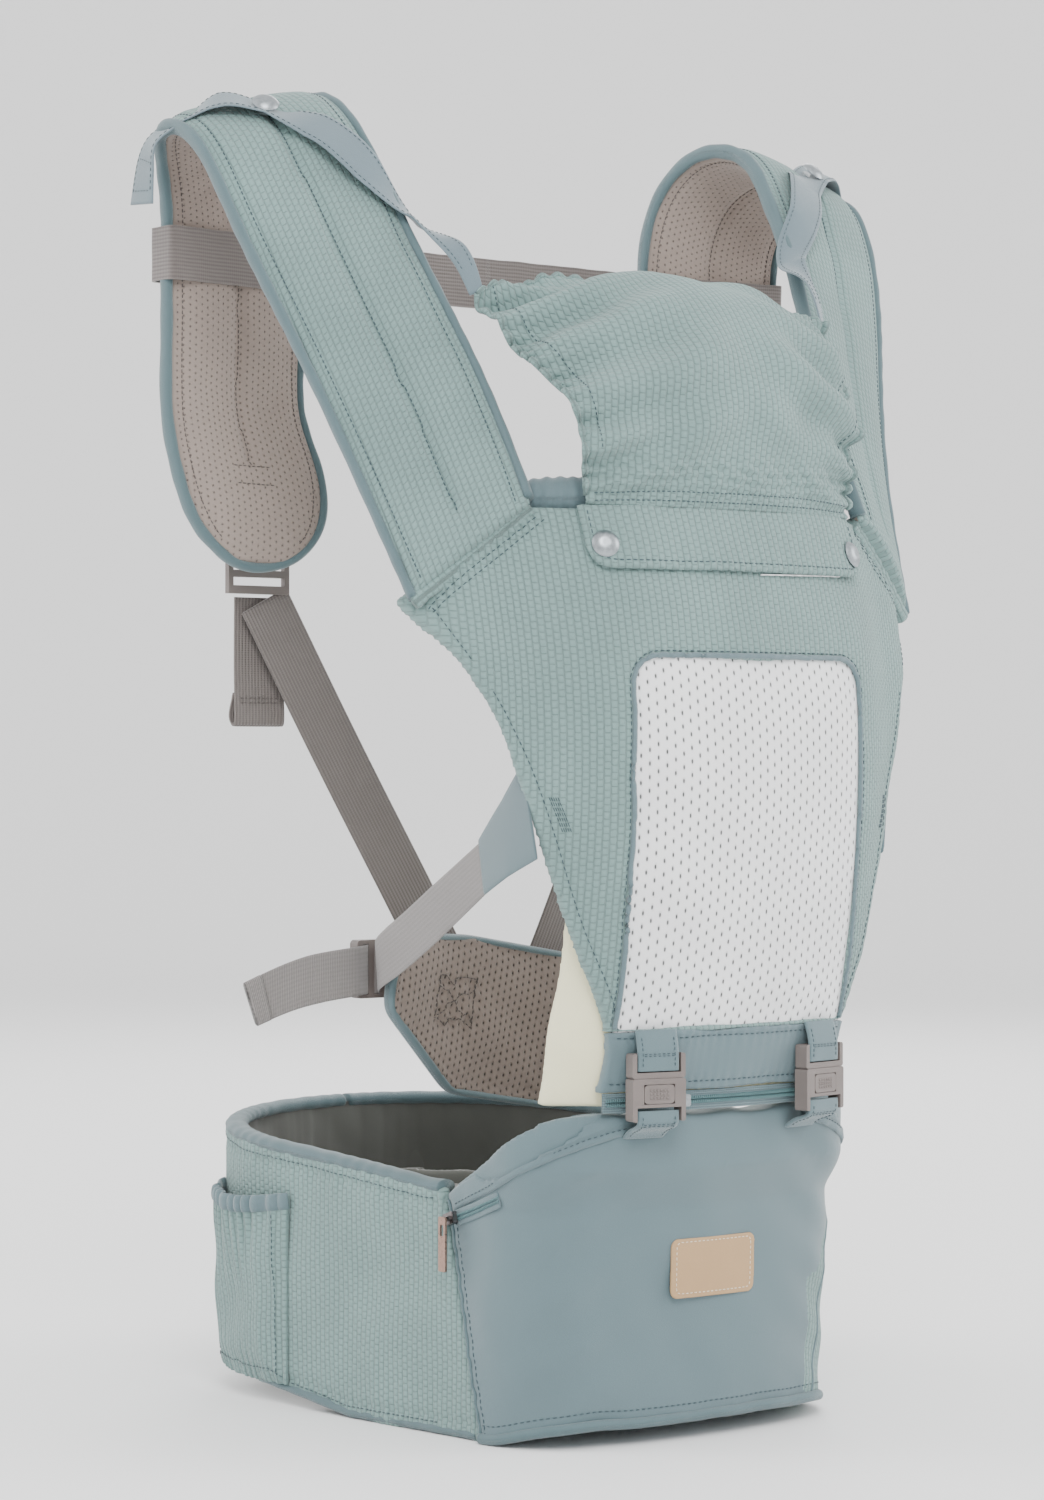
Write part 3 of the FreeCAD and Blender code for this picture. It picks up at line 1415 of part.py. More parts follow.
def snap_stud(place):
    """A flat round stud."""
    item = doc.addObject("Part::Cylinder", "snap_stud_side")
    item.setExpression("Radius", "sizes.stud_radius")
    item.setExpression("Height", "sizes.stud_wall")
    item.Placement = place
    return item


def facing(point, normal):
    """A placement at a point with local z along the normal."""
    return Placement(point, Rotation(Vector(0, 0, 1), normal))


SNAP_X = 96.0
SNAP_Z = 549.0
low_caps = []
studs = []
for side in (-1, 1):
    skin_point = panel_surface(side * SNAP_X, SNAP_Z)
    outer_point = surface_point(panel_surface, side * SNAP_X, SNAP_Z, 4.9)
    low_caps.append(snap_cap(facing(outer_point, outer_point - skin_point)))
    back_point = surface_point(panel_surface, side * SNAP_X, SNAP_Z, -size("panel_wall") - 0.3)
    studs.append(snap_stud(facing(back_point, back_point - skin_point)))
group("snap_caps_lower", low_caps)

UPPER_SNAP = (223, -24, 826)
high_caps = []
for side in (-1, 1):
    flip = Vector(side, 1, 1)

    def to_side(vector):
        return Vector(vector.x * flip.x, vector.y, vector.z)

    cap_point, cap_normal = on_pad(UPPER_SNAP, STRAP_LIFT + size("hood_strap_wall") / 2 + 0.5)
    high_caps.append(snap_cap(facing(to_side(cap_point), to_side(cap_normal))))
    stud_point, stud_normal = on_pad(UPPER_SNAP, 0.4)
    studs.append(snap_stud(facing(to_side(stud_point), to_side(stud_normal))))
group("snap_caps_upper", high_caps)
group("snap_studs", studs)

# ---------------------------------------------------------------- checks and files

doc.recompute()
for item in doc.Objects:
    if {"Invalid", "Error"} & set(item.State):
        raise RuntimeError("%s did not recompute: %s" % (item.Label, item.State))
os.makedirs("parts", exist_ok=True)
for item in nodes:
    shape = item.Shape
    if shape.isNull() or not shape.isValid() or shape.Volume <= 0:
        raise RuntimeError("%s has no valid solid" % item.Label)
    print("%-26s %2d solid %9.0f mm3" % (item.Label, len(shape.Solids), shape.Volume))
    shape.exportStep("parts/%s.step" % item.Label)
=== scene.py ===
"""Soft baby carrier with a hip seat: cloth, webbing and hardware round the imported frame.

Metres, +Z up, the child on the -Y side and the wearer inside the belt loop on the +Y side.
"""
import math

import bmesh
import bpy
import numpy as np
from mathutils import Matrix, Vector
from mathutils.bvhtree import BVHTree


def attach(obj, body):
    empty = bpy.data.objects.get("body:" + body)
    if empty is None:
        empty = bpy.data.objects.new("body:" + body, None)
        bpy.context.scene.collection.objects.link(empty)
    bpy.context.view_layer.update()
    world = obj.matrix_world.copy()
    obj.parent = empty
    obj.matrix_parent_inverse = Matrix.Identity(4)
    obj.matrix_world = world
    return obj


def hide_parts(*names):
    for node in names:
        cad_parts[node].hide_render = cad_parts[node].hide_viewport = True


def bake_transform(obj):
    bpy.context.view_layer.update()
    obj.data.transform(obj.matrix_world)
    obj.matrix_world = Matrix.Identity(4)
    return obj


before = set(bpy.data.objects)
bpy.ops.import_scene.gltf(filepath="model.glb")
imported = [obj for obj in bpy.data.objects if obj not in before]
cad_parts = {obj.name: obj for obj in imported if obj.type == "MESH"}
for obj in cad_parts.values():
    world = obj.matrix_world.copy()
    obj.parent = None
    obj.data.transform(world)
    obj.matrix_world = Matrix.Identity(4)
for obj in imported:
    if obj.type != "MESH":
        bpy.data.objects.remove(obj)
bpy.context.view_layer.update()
MM = 0.001

# ------------------------------------------------------------------ node expressions


def operation(kind):
    """A method that puts a field and any others through one kind of math node."""
    def work(self, *others):
        return self.math(kind, *others)
    return work


class Field:
    """A number in a material's node tree that can be worked with like a plain number."""

    def __init__(self, tree, socket):
        self.tree = tree
        self.socket = socket

    def math(self, kind, *others):
        node = self.tree.nodes.new("ShaderNodeMath")
        node.operation = kind
        for i, value in enumerate((self,) + others):
            if isinstance(value, Field):
                self.tree.links.new(value.socket, node.inputs[i])
            else:
                node.inputs[i].default_value = value
        return Field(self.tree, node.outputs[0])

    __add__ = operation("ADD")
    __sub__ = operation("SUBTRACT")
    __mul__ = operation("MULTIPLY")
    __truediv__ = operation("DIVIDE")
    fract = operation("FRACT")
    floor = operation("FLOOR")
    abs = operation("ABSOLUTE")
    sine = operation("SINE")
    root = operation("SQRT")
    maximum = operation("MAXIMUM")

    def step(self, low, high):
        """0 below low, 1 above high, smooth between."""
        node = self.tree.nodes.new("ShaderNodeMapRange")
        node.interpolation_type = "SMOOTHSTEP"
        self.tree.links.new(self.socket, node.inputs["Value"])
        node.inputs["From Min"].default_value = low
        node.inputs["From Max"].default_value = high
        return Field(self.tree, node.outputs["Result"])


class Paint:
    """A material under construction."""

    def __init__(self, name, roughness, sheen=0.0, metallic=0.0, coat=0.0):
        self.material = bpy.data.materials.new(name)
        self.material.use_nodes = True
        self.tree = self.material.node_tree
        self.shader = self.tree.nodes["Principled BSDF"]
        self.shader.inputs["Roughness"].default_value = roughness
        self.shader.inputs["Metallic"].default_value = metallic
        self.shader.inputs["Sheen Weight"].default_value = sheen
        self.shader.inputs["Sheen Roughness"].default_value = 0.5
        self.shader.inputs["Coat Weight"].default_value = coat

    def node(self, kind):
        return self.tree.nodes.new(kind)

    def weave(self):
        """The two cloth coordinates, in metres across and along the cloth."""
        source = self.node("ShaderNodeUVMap")
        source.uv_map = "weave"
        parts = self.node("ShaderNodeSeparateXYZ")
        self.tree.links.new(source.outputs["UV"], parts.inputs[0])
        return Field(self.tree, parts.outputs[0]), Field(self.tree, parts.outputs[1])

    def texture(self, kind, result, **settings):
        """A texture over the object's own rest position, with the given inputs."""
        place = self.node("ShaderNodeTexCoord")
        node = self.node(kind)
        for name, value in settings.items():
            node.inputs[name].default_value = value
        self.tree.links.new(place.outputs["Object"], node.inputs["Vector"])
        return Field(self.tree, node.outputs[result])

    def noise(self, scale, detail=3.0, roughness=0.55):
        """Noise with that many features per metre."""
        return self.texture("ShaderNodeTexNoise", "Fac", Scale=scale, Detail=detail, Roughness=roughness)

    def cells(self, scale):
        """Distance to the nearest of scattered points, for grain."""
        return self.texture("ShaderNodeTexVoronoi", "Distance", Scale=scale)

    def mix(self, factor, first, second):
        """Colour first where factor is 0 and second where it is 1."""
        node = self.node("ShaderNodeMix")
        node.data_type = "RGBA"
        self.tree.links.new(factor.socket, node.inputs["Factor"])
        for name, colour in (("A", first), ("B", second)):
            socket = [s for s in node.inputs if s.name == name and s.type == "RGBA"][0]
            if isinstance(colour, (tuple, list)):
                socket.default_value = tuple(colour[:3]) + (1.0,)
            else:
                self.tree.links.new(colour, socket)
        return [s for s in node.outputs if s.type == "RGBA"][0]

    def colour(self, socket):
        self.tree.links.new(socket, self.shader.inputs["Base Color"])

    def rough(self, field):
        self.tree.links.new(field.socket, self.shader.inputs["Roughness"])

    def bump(self, height, distance):
        node = self.node("ShaderNodeBump")
        node.inputs["Distance"].default_value = distance
        node.inputs["Strength"].default_value = 1.0
        self.tree.links.new(height.socket, node.inputs["Height"])
        self.tree.links.new(node.outputs["Normal"], self.shader.inputs["Normal"])


def shade(colour, factor):
    """The colour made darker or lighter."""
    return tuple(min(1.0, c * factor) for c in colour)


def staggered(across, along, pitch_across, pitch_along, lean=0.0):
    """Place inside a cell of a half-drop pattern, each from -1 to 1."""
    column = across / pitch_across
    drop = (column.floor() * 0.5).fract()
    row = (along + across * lean) / pitch_along + drop
    return column.fract() * 2.0 - 1.0, row.fract() * 2.0 - 1.0


# ------------------------------------------------------------------ materials

TEAL = (0.172, 0.268, 0.258)
TEAL_TWILL = (0.118, 0.186, 0.208)
TEAL_STRAP = (0.142, 0.205, 0.238)
TEAL_RIM = (0.092, 0.155, 0.172)
TAUPE = (0.235, 0.188, 0.165)
TAUPE_WEBBING = (0.165, 0.142, 0.133)
LIGHT_WEBBING = (0.240, 0.222, 0.215)
CREAM = (0.800, 0.770, 0.520)
WHITE = (0.820, 0.825, 0.835)
OLIVE = (0.085, 0.088, 0.078)
PLASTIC = (0.160, 0.136, 0.127)
LEATHER = (0.520, 0.330, 0.165)


def mottled(paint, base, amount=0.07):
    """The cloth's colour with slow uneven patches."""
    slow = paint.noise(14.0, 2.0).step(0.3, 0.7)
    return paint.mix(slow, shade(base, 1.0 - amount), shade(base, 1.0 + amount))


def knit(name, base, pitch_across=4.4 * MM, pitch_along=4.3 * MM):
    """Raised scale-like knit, the gaps between its stitches darkened as painted shade."""
    paint = Paint(name, 0.86, sheen=0.2)
    across, along = paint.weave()
    a, b = staggered(across, along, pitch_across, pitch_along)
    gap = a.abs().step(0.62, 1.0).maximum(b.abs().step(0.74, 1.0) * 0.75)
    dome = (a * a * 0.55 + b * b * 0.55) * -1.0 + 1.0
    fibre = paint.noise(2600.0, 2.0)
    ground = mottled(paint, base)
    # painted shade: the gaps between the stitches darkened towards half the base colour
    low = paint.mix(gap * 0.36, ground, shade(base, 0.50))
    paint.colour(paint.mix(fibre.step(0.35, 0.75) * 0.16, low, shade(base, 1.25)))
    paint.bump(dome + fibre * 0.15 - gap * 0.5, 0.75 * MM)
    return paint.material


def twill(name, base, sheen=0.35, roughness=0.72):
    """Fine diagonal weave with a soft sheen."""
    paint = Paint(name, roughness, sheen=sheen)
    across, along = paint.weave()
    ridge = ((across + along) * (2 * math.pi / (0.75 * MM))).sine()
    fibre = paint.noise(1500.0, 3.0)
    ground = mottled(paint, base, 0.05)
    # painted shade: the troughs of the weave darkened to 0.8 of the base colour, the crests a little lighter
    low = paint.mix(ridge.step(-0.6, 0.9) * 0.30, shade(base, 0.80), ground)
    paint.colour(paint.mix(fibre.step(0.4, 0.8) * 0.14, low, shade(base, 1.22)))
    paint.bump(ridge * 0.3 + fibre, 0.12 * MM)
    return paint.material


def punched(name, base, pitch_across, pitch_along, slit_across, slit_along, dark, lean=0.0):
    """Spacer mesh with a half-drop pattern of small oval holes; the holes and the dips round them are painted
    shade.
    """
    paint = Paint(name, 0.9, sheen=0.2)
    across, along = paint.weave()
    a, b = staggered(across, along, pitch_across, pitch_along, lean)
    x = a * (pitch_across / slit_across)
    y = b * (pitch_along / slit_along)
    reach = (x * x + y * y).root()
    hole = reach.step(0.72, 1.05) * -1.0 + 1.0
    dip = reach.step(0.9, 2.1) * -1.0 + 1.0
    fibre = paint.noise(2200.0, 2.0)
    ground = mottled(paint, base, 0.04)
    # painted shade: the dip round each hole darkened, and the uncut holes painted dark for the shaded depth
    # seen through them
    low = paint.mix(dip * 0.28, ground, shade(base, 0.72))
    low = paint.mix(hole, low, dark)
    paint.colour(paint.mix(fibre.step(0.3, 0.8) * 0.10, low, shade(base, 1.12)))
    paint.bump(fibre * 0.15 - dip * 0.5 - hole, 0.7 * MM)
    return paint.material


def webbing(name, base, rib_across=2.4 * MM, rib_along=1.5 * MM, strong_across=True):
    """Woven tape: fine cross ribs between lengthwise cords."""
    paint = Paint(name, 0.68, sheen=0.3)
    across, along = paint.weave()
    cord = (across * (2 * math.pi / rib_across)).sine()
    pick = (along * (2 * math.pi / rib_along)).sine()
    height = cord * (0.75 if strong_across else 0.25) + pick * (0.25 if strong_across else 0.75)
    fibre = paint.noise(2000.0, 2.0)
    # painted shade: the hollows between the ribs darkened to 0.62 of the base colour
    low = paint.mix(height.step(-0.9, 0.9), shade(base, 0.62), mottled(paint, base, 0.05))
    paint.colour(paint.mix(fibre.step(0.4, 0.8) * 0.15, low, shade(base, 1.3)))
    paint.bump(height * 0.5 + fibre * 0.2, 0.35 * MM)
    return paint.material


def smooth_cloth(name, base, roughness=0.85, sheen=0.3):
    """Brushed cloth with hardly any weave."""
    paint = Paint(name, roughness, sheen=sheen)
    fibre = paint.noise(1100.0, 4.0)
    paint.colour(paint.mix(fibre.step(0.35, 0.75) * 0.3, mottled(paint, base, 0.03), shade(base, 0.9)))
    paint.bump(fibre, 0.12 * MM)
    return paint.material


def moulded(name, base, roughness=0.42):
    """Satin moulded plastic with a faint grain."""
    paint = Paint(name, roughness)
    grain = paint.noise(900.0, 3.0)
    slow = paint.noise(30.0, 2.0)
    paint.colour(paint.mix(slow.step(0.3, 0.7), shade(base, 0.94), shade(base, 1.05)))
    paint.rough(grain.step(0.2, 0.8) * 0.16 + (roughness - 0.08))
    paint.bump(grain, 0.04 * MM)
    return paint.material


def plated(name, base, roughness):
    """Plated metal with fine scuffs."""
    paint = Paint(name, roughness, metallic=1.0)
    scuff = paint.noise(420.0, 5.0, 0.7)
    paint.colour(paint.mix(scuff.step(0.35, 0.7), shade(base, 0.85), shade(base, 1.1)))
    paint.rough(scuff.step(0.3, 0.75) * 0.18 + (roughness - 0.06))
    paint.bump(scuff, 0.02 * MM)
    return paint.material


def hide(name, base):
    """Smooth leather with a fine grain."""
    paint = Paint(name, 0.55)
    grain = paint.cells(1500.0)
    slow = paint.noise(60.0, 4.0)
    ground = paint.mix(slow.step(0.3, 0.7), shade(base, 0.90), shade(base, 1.06))
    paint.colour(paint.mix(grain.step(0.1, 0.6) * 0.25, shade(base, 0.78), ground))
    paint.bump(grain * 0.5 + slow * 0.4, 0.12 * MM)
    return paint.material


def thread(name, base):
    """Sewing thread with a twist."""
    paint = Paint(name, 0.6, sheen=0.2)
    twist = paint.noise(1800.0, 1.0)
    paint.colour(paint.mix(twist.step(0.35, 0.7), shade(base, 0.75), shade(base, 1.1)))
    paint.bump(twist, 0.1 * MM)
    return paint.material


MATERIALS = {
    "knit": knit("teal_knit", TEAL),
    "twill": twill("teal_twill", TEAL_TWILL),
    "strap_twill": twill("hood_strap_twill", TEAL_STRAP, sheen=0.4, roughness=0.7),
    "rim": twill("binding_tape", TEAL_RIM, sheen=0.3, roughness=0.75),
    # the last colour of each punched mesh is the painted shade seen through its holes
    "white_mesh": punched("white_mesh", WHITE, 5.6 * MM, 8.2 * MM, 1.35 * MM, 3.0 * MM,
                          (0.085, 0.088, 0.09), lean=0.10),
    "pad_mesh": punched("pad_mesh", (0.290, 0.238, 0.208), 4.2 * MM, 4.6 * MM, 0.9 * MM, 1.1 * MM,
                        (0.115, 0.088, 0.076), lean=0.1),
    "taupe_mesh": punched("taupe_mesh", TAUPE, 4.8 * MM, 5.4 * MM, 1.4 * MM, 2.1 * MM,
                          (0.040, 0.030, 0.026), lean=0.1),
    "webbing": webbing("taupe_webbing", TAUPE_WEBBING),
    "light_webbing": webbing("light_webbing", LIGHT_WEBBING, rib_across=2.9 * MM, rib_along=1.2 * MM,
                             strong_across=False),
    "cream": smooth_cloth("cream_lining", CREAM),
    "olive": smooth_cloth("belt_lining", OLIVE, 0.8),
    "plastic": moulded("taupe_plastic", PLASTIC),
    "leather": hide("patch_leather", LEATHER),
    "gunmetal": plated("gunmetal_plate", (0.20, 0.18, 0.18), 0.30),
    "rose": plated("rose_gold_plate", (0.36, 0.235, 0.19), 0.30),
    "silver": plated("silver_plate", (0.34, 0.37, 0.39), 0.36),
    "foam": smooth_cloth("seat_foam", (0.06, 0.06, 0.065), 0.9, 0.0),
    "pile": smooth_cloth("hook_and_loop", (0.05, 0.06, 0.06), 0.95, 0.3),
    "teal_thread": thread("teal_thread", (0.030, 0.062, 0.075)),
    "pale_thread": thread("pale_thread", (0.82, 0.74, 0.60)),
    "taupe_thread": thread("taupe_thread", (0.075, 0.060, 0.055)),
    "coil": moulded("zip_coil", (0.10, 0.20, 0.21), 0.35),
    "tape": webbing("zip_tape", (0.115, 0.180, 0.200), rib_across=1.6 * MM, rib_along=1.6 * MM),
}

# ------------------------------------------------------------------ mesh helpers


def unit(vectors):
    """The same directions at length 1."""
    return vectors / np.linalg.norm(vectors, axis=-1, keepdims=True)


def run_of(points):
    """Distance along a line at each of its points."""
    return np.concatenate([[0], np.cumsum(np.linalg.norm(np.diff(points, axis=0), axis=1))])


def rows_at(want, run, rows):
    """Rows of numbers read off at other places along their run."""
    return np.stack([np.interp(want, run, rows[:, k]) for k in range(rows.shape[1])], axis=1)


def corners_of(mesh):
    """A mesh's vertices as an array of points."""
    return np.array([v.co for v in mesh.vertices], float)


def link(made):
    bpy.context.scene.collection.objects.link(made)
    return made


def piece(name, points, faces, coordinates, material, body="carrier"):
    """A mesh object with metric cloth coordinates, its faces turned outwards."""
    points = np.asarray(points, float)
    total = 0.0
    for size in (3, 4):
        same = np.array([face for face in faces if len(face) == size], dtype=int).reshape(-1, size)
        for k in range(1, size - 1):
            a, b, c = points[same[:, 0]], points[same[:, k]], points[same[:, k + 1]]
            total += float(np.sum(a * np.cross(b, c)))
    if total < 0:
        faces = [face[::-1] for face in faces]
    mesh = bpy.data.meshes.new(name)
    mesh.from_pydata(points.tolist(), [], [list(face) for face in faces])
    layer = mesh.uv_layers.new(name="weave")
    corners = np.empty(len(mesh.loops), dtype=np.int32)
    mesh.loops.foreach_get("vertex_index", corners)
    layer.data.foreach_set("uv", np.asarray(coordinates, np.float32)[corners].ravel())
    mesh.shade_smooth()
    made = link(bpy.data.objects.new(name, mesh))
    mesh.materials.append(MATERIALS[material])
    if body:
        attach(made, body)
    return made


def grid_faces(rows, columns, start=0, wrap=False):
    """Quads over a grid of points laid out row by row."""
    faces = []
    for i in range(rows - 1):
        for j in range(columns if wrap else columns - 1):
            k = (j + 1) % columns
            faces.append((start + i * columns + j, start + i * columns + k,
                          start + (i + 1) * columns + k, start + (i + 1) * columns + j))
    return faces


def normals_of(grid):
    """Unit normals of a grid of points."""
    normal = np.cross(np.gradient(grid, axis=0), np.gradient(grid, axis=1))
    return normal / np.maximum(np.linalg.norm(normal, axis=2, keepdims=True), 1e-12)


def metric(grid):
    """Distances along a grid's rows, from their middles, and down its columns, in metres."""
    rows, columns = grid.shape[:2]
    along = np.zeros((rows, columns))
    along[:, 1:] = np.cumsum(np.linalg.norm(np.diff(grid, axis=1), axis=2), axis=1)
    along -= along[:, columns // 2][:, None]
    down = np.zeros((rows, columns))
    down[1:] = np.cumsum(np.linalg.norm(np.diff(grid, axis=0), axis=2), axis=0)
    return along, down


def shell(name, front, back, material, body="carrier", coordinates=None):
    """A closed sheet between two grids of the same size."""
    rows, columns = front.shape[:2]
    count = rows * columns
    faces = grid_faces(rows, columns)
    faces += [tuple(i + count for i in face[::-1]) for face in faces]
    rim = [(0, j) for j in range(columns)] + [(i, columns - 1) for i in range(1, rows)]
    rim += [(rows - 1, j) for j in range(columns - 2, -1, -1)] + [(i, 0) for i in range(rows - 2, 0, -1)]
    ring = [i * columns + j for i, j in rim]
    for a, b in zip(ring, ring[1:] + ring[:1]):
        faces.append((b, a, a + count, b + count))
    flat = np.stack(metric(front) if coordinates is None else coordinates, axis=2).reshape(-1, 2)
    points = np.concatenate([front.reshape(-1, 3), back.reshape(-1, 3)])
    return piece(name, points, faces, np.concatenate([flat, flat]), material, body)


def rounded_edge(distance, radius):
    """1 well inside a sheet and falling to almost 0 at its rim, like a quarter circle."""
    share = np.clip(distance / radius, 0.0, 1.0)
    return np.sqrt(np.maximum(1.0 - (1.0 - share) ** 2, 0.0)) * 0.94 + 0.06


def waves(points, length, seed, count=9):
    """A smooth random field over points, about -1 to 1, with features of that length."""
    chance = np.random.default_rng(seed)
    total = np.zeros(points.shape[:-1])
    for _ in range(count):
        heading = chance.normal(size=3)
        heading *= 2 * math.pi / length / np.linalg.norm(heading) * chance.uniform(0.6, 1.3)
        total += np.sin(points @ heading + chance.uniform(0, 2 * math.pi))
    return total / math.sqrt(count)


def wavy(*layers):
    """A relief made of random waves, each layer a height, a length and a seed."""
    def relief(points, _normals=None):
        return sum(height * waves(points, length, seed) for height, length, seed in layers)
    return relief


def spline(points, count):
    """Points of a natural cubic spline through the given ones, evenly spaced along it."""
    points = np.asarray(points, float)
    chord = run_of(points)
    size = len(points)
    steps = np.diff(chord)
    matrix = np.eye(size)
    right = np.zeros_like(points)
    for i in range(1, size - 1):
        matrix[i, i - 1:i + 2] = steps[i - 1], 2 * (steps[i - 1] + steps[i]), steps[i]
        right[i] = 6 * ((points[i + 1] - points[i]) / steps[i] - (points[i] - points[i - 1]) / steps[i - 1])
    bend = np.linalg.solve(matrix, right)
    values = np.linspace(0, chord[-1], 40 * size)
    k = np.clip(np.searchsorted(chord, values, side="right") - 1, 0, size - 2)
    h = steps[k][:, None]
    a = ((chord[k + 1] - values) / steps[k])[:, None]
    b = 1 - a
    fine = a * points[k] + b * points[k + 1] + ((a ** 3 - a) * bend[k]
                                                + (b ** 3 - b) * bend[k + 1]) * h ** 2 / 6
    length = run_of(fine)
    return rows_at(np.linspace(0, length[-1], count), length, fine)


def frames_along(path, normals=None, closed=False):
    """Sideways and upward directions along a path."""
    tangent = np.gradient(path, axis=0)
    if closed:
        tangent = np.roll(path, -1, axis=0) - np.roll(path, 1, axis=0)
    tangent = unit(tangent)
    if normals is None:
        up = np.array([0.0, 0.0, 1.0]) if abs(tangent[0][2]) < 0.8 else np.array([0.0, 1.0, 0.0])
        normals = []
        for heading in tangent:
            up = up - heading * float(up @ heading)
            up = up / np.linalg.norm(up)
            normals.append(up)
        normals = np.array(normals)
    else:
        normals = np.broadcast_to(np.asarray(normals, float), path.shape)
        normals = unit(normals - tangent * np.sum(normals * tangent, axis=1, keepdims=True))
    return np.cross(tangent, normals), normals


def tube(name, path, wide, high, material, body="carrier", normals=None, closed=False,
         sides=14):
    """A round or oval bar along a path, wide sideways and high along its normals."""
    path = np.asarray(path, float)
    side, up = frames_along(path, normals, closed)
    turn = np.linspace(0, 2 * math.pi, sides, endpoint=False)
    wide = np.broadcast_to(wide, (len(path),))[:, None, None]
    high = np.broadcast_to(high, (len(path),))[:, None, None]
    ring = side[:, None] * np.cos(turn)[None, :, None] * wide + up[:, None] * np.sin(turn)[None, :,
                                                                                           None] * high
    grid = path[:, None] + ring
    if closed:
        grid = np.concatenate([grid, grid[:1]])
    rows = len(grid)
    length = run_of(grid[:, 0])
    around = turn * float(np.mean(wide))
    flat = np.stack(np.broadcast_arrays(around[None, :], length[:, None]), axis=2).reshape(-1, 2)
    points = grid.reshape(-1, 3)
    faces = grid_faces(rows, sides, wrap=True)
    if not closed:
        points = np.concatenate([points, path[:1], path[-1:]])
        flat = np.concatenate([flat, [[0, 0], [0, length[-1]]]])
        first, last = len(points) - 2, len(points) - 1
        for j in range(sides):
            k = (j + 1) % sides
            faces.append((first, k, j))
            faces.append((last, (rows - 1) * sides + j, (rows - 1) * sides + k))
    return piece(name, points, faces, flat, material, body)


STITCH_SIDES = 6
STITCH_PROFILE = [(-0.5, 0.35), (-0.36, 0.85), (0.0, 1.0), (0.36, 0.85), (0.5, 0.35)]


def stitches(name, lines, body="carrier", material="teal_thread", slot="teal_twill", length=2.7 * MM,
             gap=1.5 * MM, radius=0.42 * MM):
    """Separate thread dashes along one or more lines of (points, normals)."""
    points = []
    faces = []
    rows = len(STITCH_PROFILE)
    turn = np.linspace(0, 2 * math.pi, STITCH_SIDES, endpoint=False)
    for path, normals in lines:
        path = np.asarray(path, float)
        normals = np.broadcast_to(np.asarray(normals, float), path.shape)
        run = run_of(path)
        middles = np.arange(length, run[-1] - length / 2, length + gap)
        starts = rows_at(middles - 0.5 * length, run, path)
        ends = rows_at(middles + 0.5 * length, run, path)
        for first, last, up in zip(starts, ends, rows_at(middles, run, normals)):
            heading = last - first
            side = np.cross(heading, up)
            side /= max(np.linalg.norm(side), 1e-9)
            up = np.cross(side, heading)
            up /= max(np.linalg.norm(up), 1e-9)
            start = len(points)
            centre = (first + last) / 2
            for share, swell in STITCH_PROFILE:
                at = centre + heading * share + up * (radius * 0.5)
                for angle in turn:
                    points.append(at + (side * math.cos(angle) + up * math.sin(angle)) * radius * swell)
            faces += [face[::-1] for face in grid_faces(rows, STITCH_SIDES, start, wrap=True)]
            faces.append(tuple(start + j for j in range(STITCH_SIDES)))
            faces.append(tuple(start + (rows - 1) * STITCH_SIDES + j for j in reversed(range(STITCH_SIDES))))
    return piece(name, points, faces, np.zeros((len(points), 2)), material, body)


STRAP_SHARES = np.array([-1, -0.965, -0.86, -0.5, 0, 0.5, 0.86, 0.965, 1.0])


def strap(name, middles, halves, normals, wall, material, body="carrier"):
    """A flat tape through stations, with softly rounded selvedges."""
    normals = unit(np.asarray(normals, float))
    middle = middles[:, None] + halves[:, None] * STRAP_SHARES[None, :, None]
    half = wall / 2 * np.sqrt(np.clip(1.06 - np.abs(STRAP_SHARES) ** 14, 0.06, 1))
    lift = normals[:, None] * half[None, :, None]
    return shell(name, middle + lift, middle - lift, material, body)


def through(stations, count):
    """Smooth stations from a few (middle, half width, normal) triples."""
    middle, halves, normals = [np.array([s[k] for s in stations], float) for k in range(3)]
    chord = run_of(middle)
    chord /= chord[-1]
    smooth = spline(middle, count)
    run = run_of(smooth)
    run /= run[-1]
    return smooth, rows_at(run, chord, halves), rows_at(run, chord, normals)


CLOTH = {"quality": 5, "mass": 0.25, "tension_stiffness": 22, "compression_stiffness": 16,
         "shear_stiffness": 8,
         "bending_stiffness": 0.35, "use_pressure": True, "vertex_group_mass": "seams"}


def inflate(made, pinned, pressure, frames, cap):
    """Blows a closed cloth piece up with Blender's cloth, held at its seams."""
    rest = corners_of(made.data)
    group = made.vertex_groups.new(name="seams")
    levels = np.round(pinned, 2)
    for weight in np.unique(levels):
        if weight > 0:
            group.add(np.nonzero(np.abs(levels - weight) < 1e-6)[0].tolist(), float(weight), "REPLACE")
    cloth = made.modifiers.new("cloth", "CLOTH")
    for name, value in CLOTH.items():
        setattr(cloth.settings, name, value)
    cloth.settings.uniform_pressure_force = pressure
    cloth.settings.effector_weights.gravity = 0.0
    cloth.point_cache.frame_start = 1
    cloth.point_cache.frame_end = frames
    scene = bpy.context.scene
    for step in range(1, frames + 1):
        scene.frame_set(step)
    blown = made.evaluated_get(bpy.context.evaluated_depsgraph_get())
    change = corners_of(blown.to_mesh()) - rest
    blown.to_mesh_clear()
    made.modifiers.remove(cloth)
    scene.frame_set(1)
    size = np.linalg.norm(change, axis=1, keepdims=True)
    change *= np.minimum(1.0, cap / np.maximum(size, 1e-9))
    made.data.vertices.foreach_set("co", (rest + change).astype(np.float32).ravel())
    made.data.update()


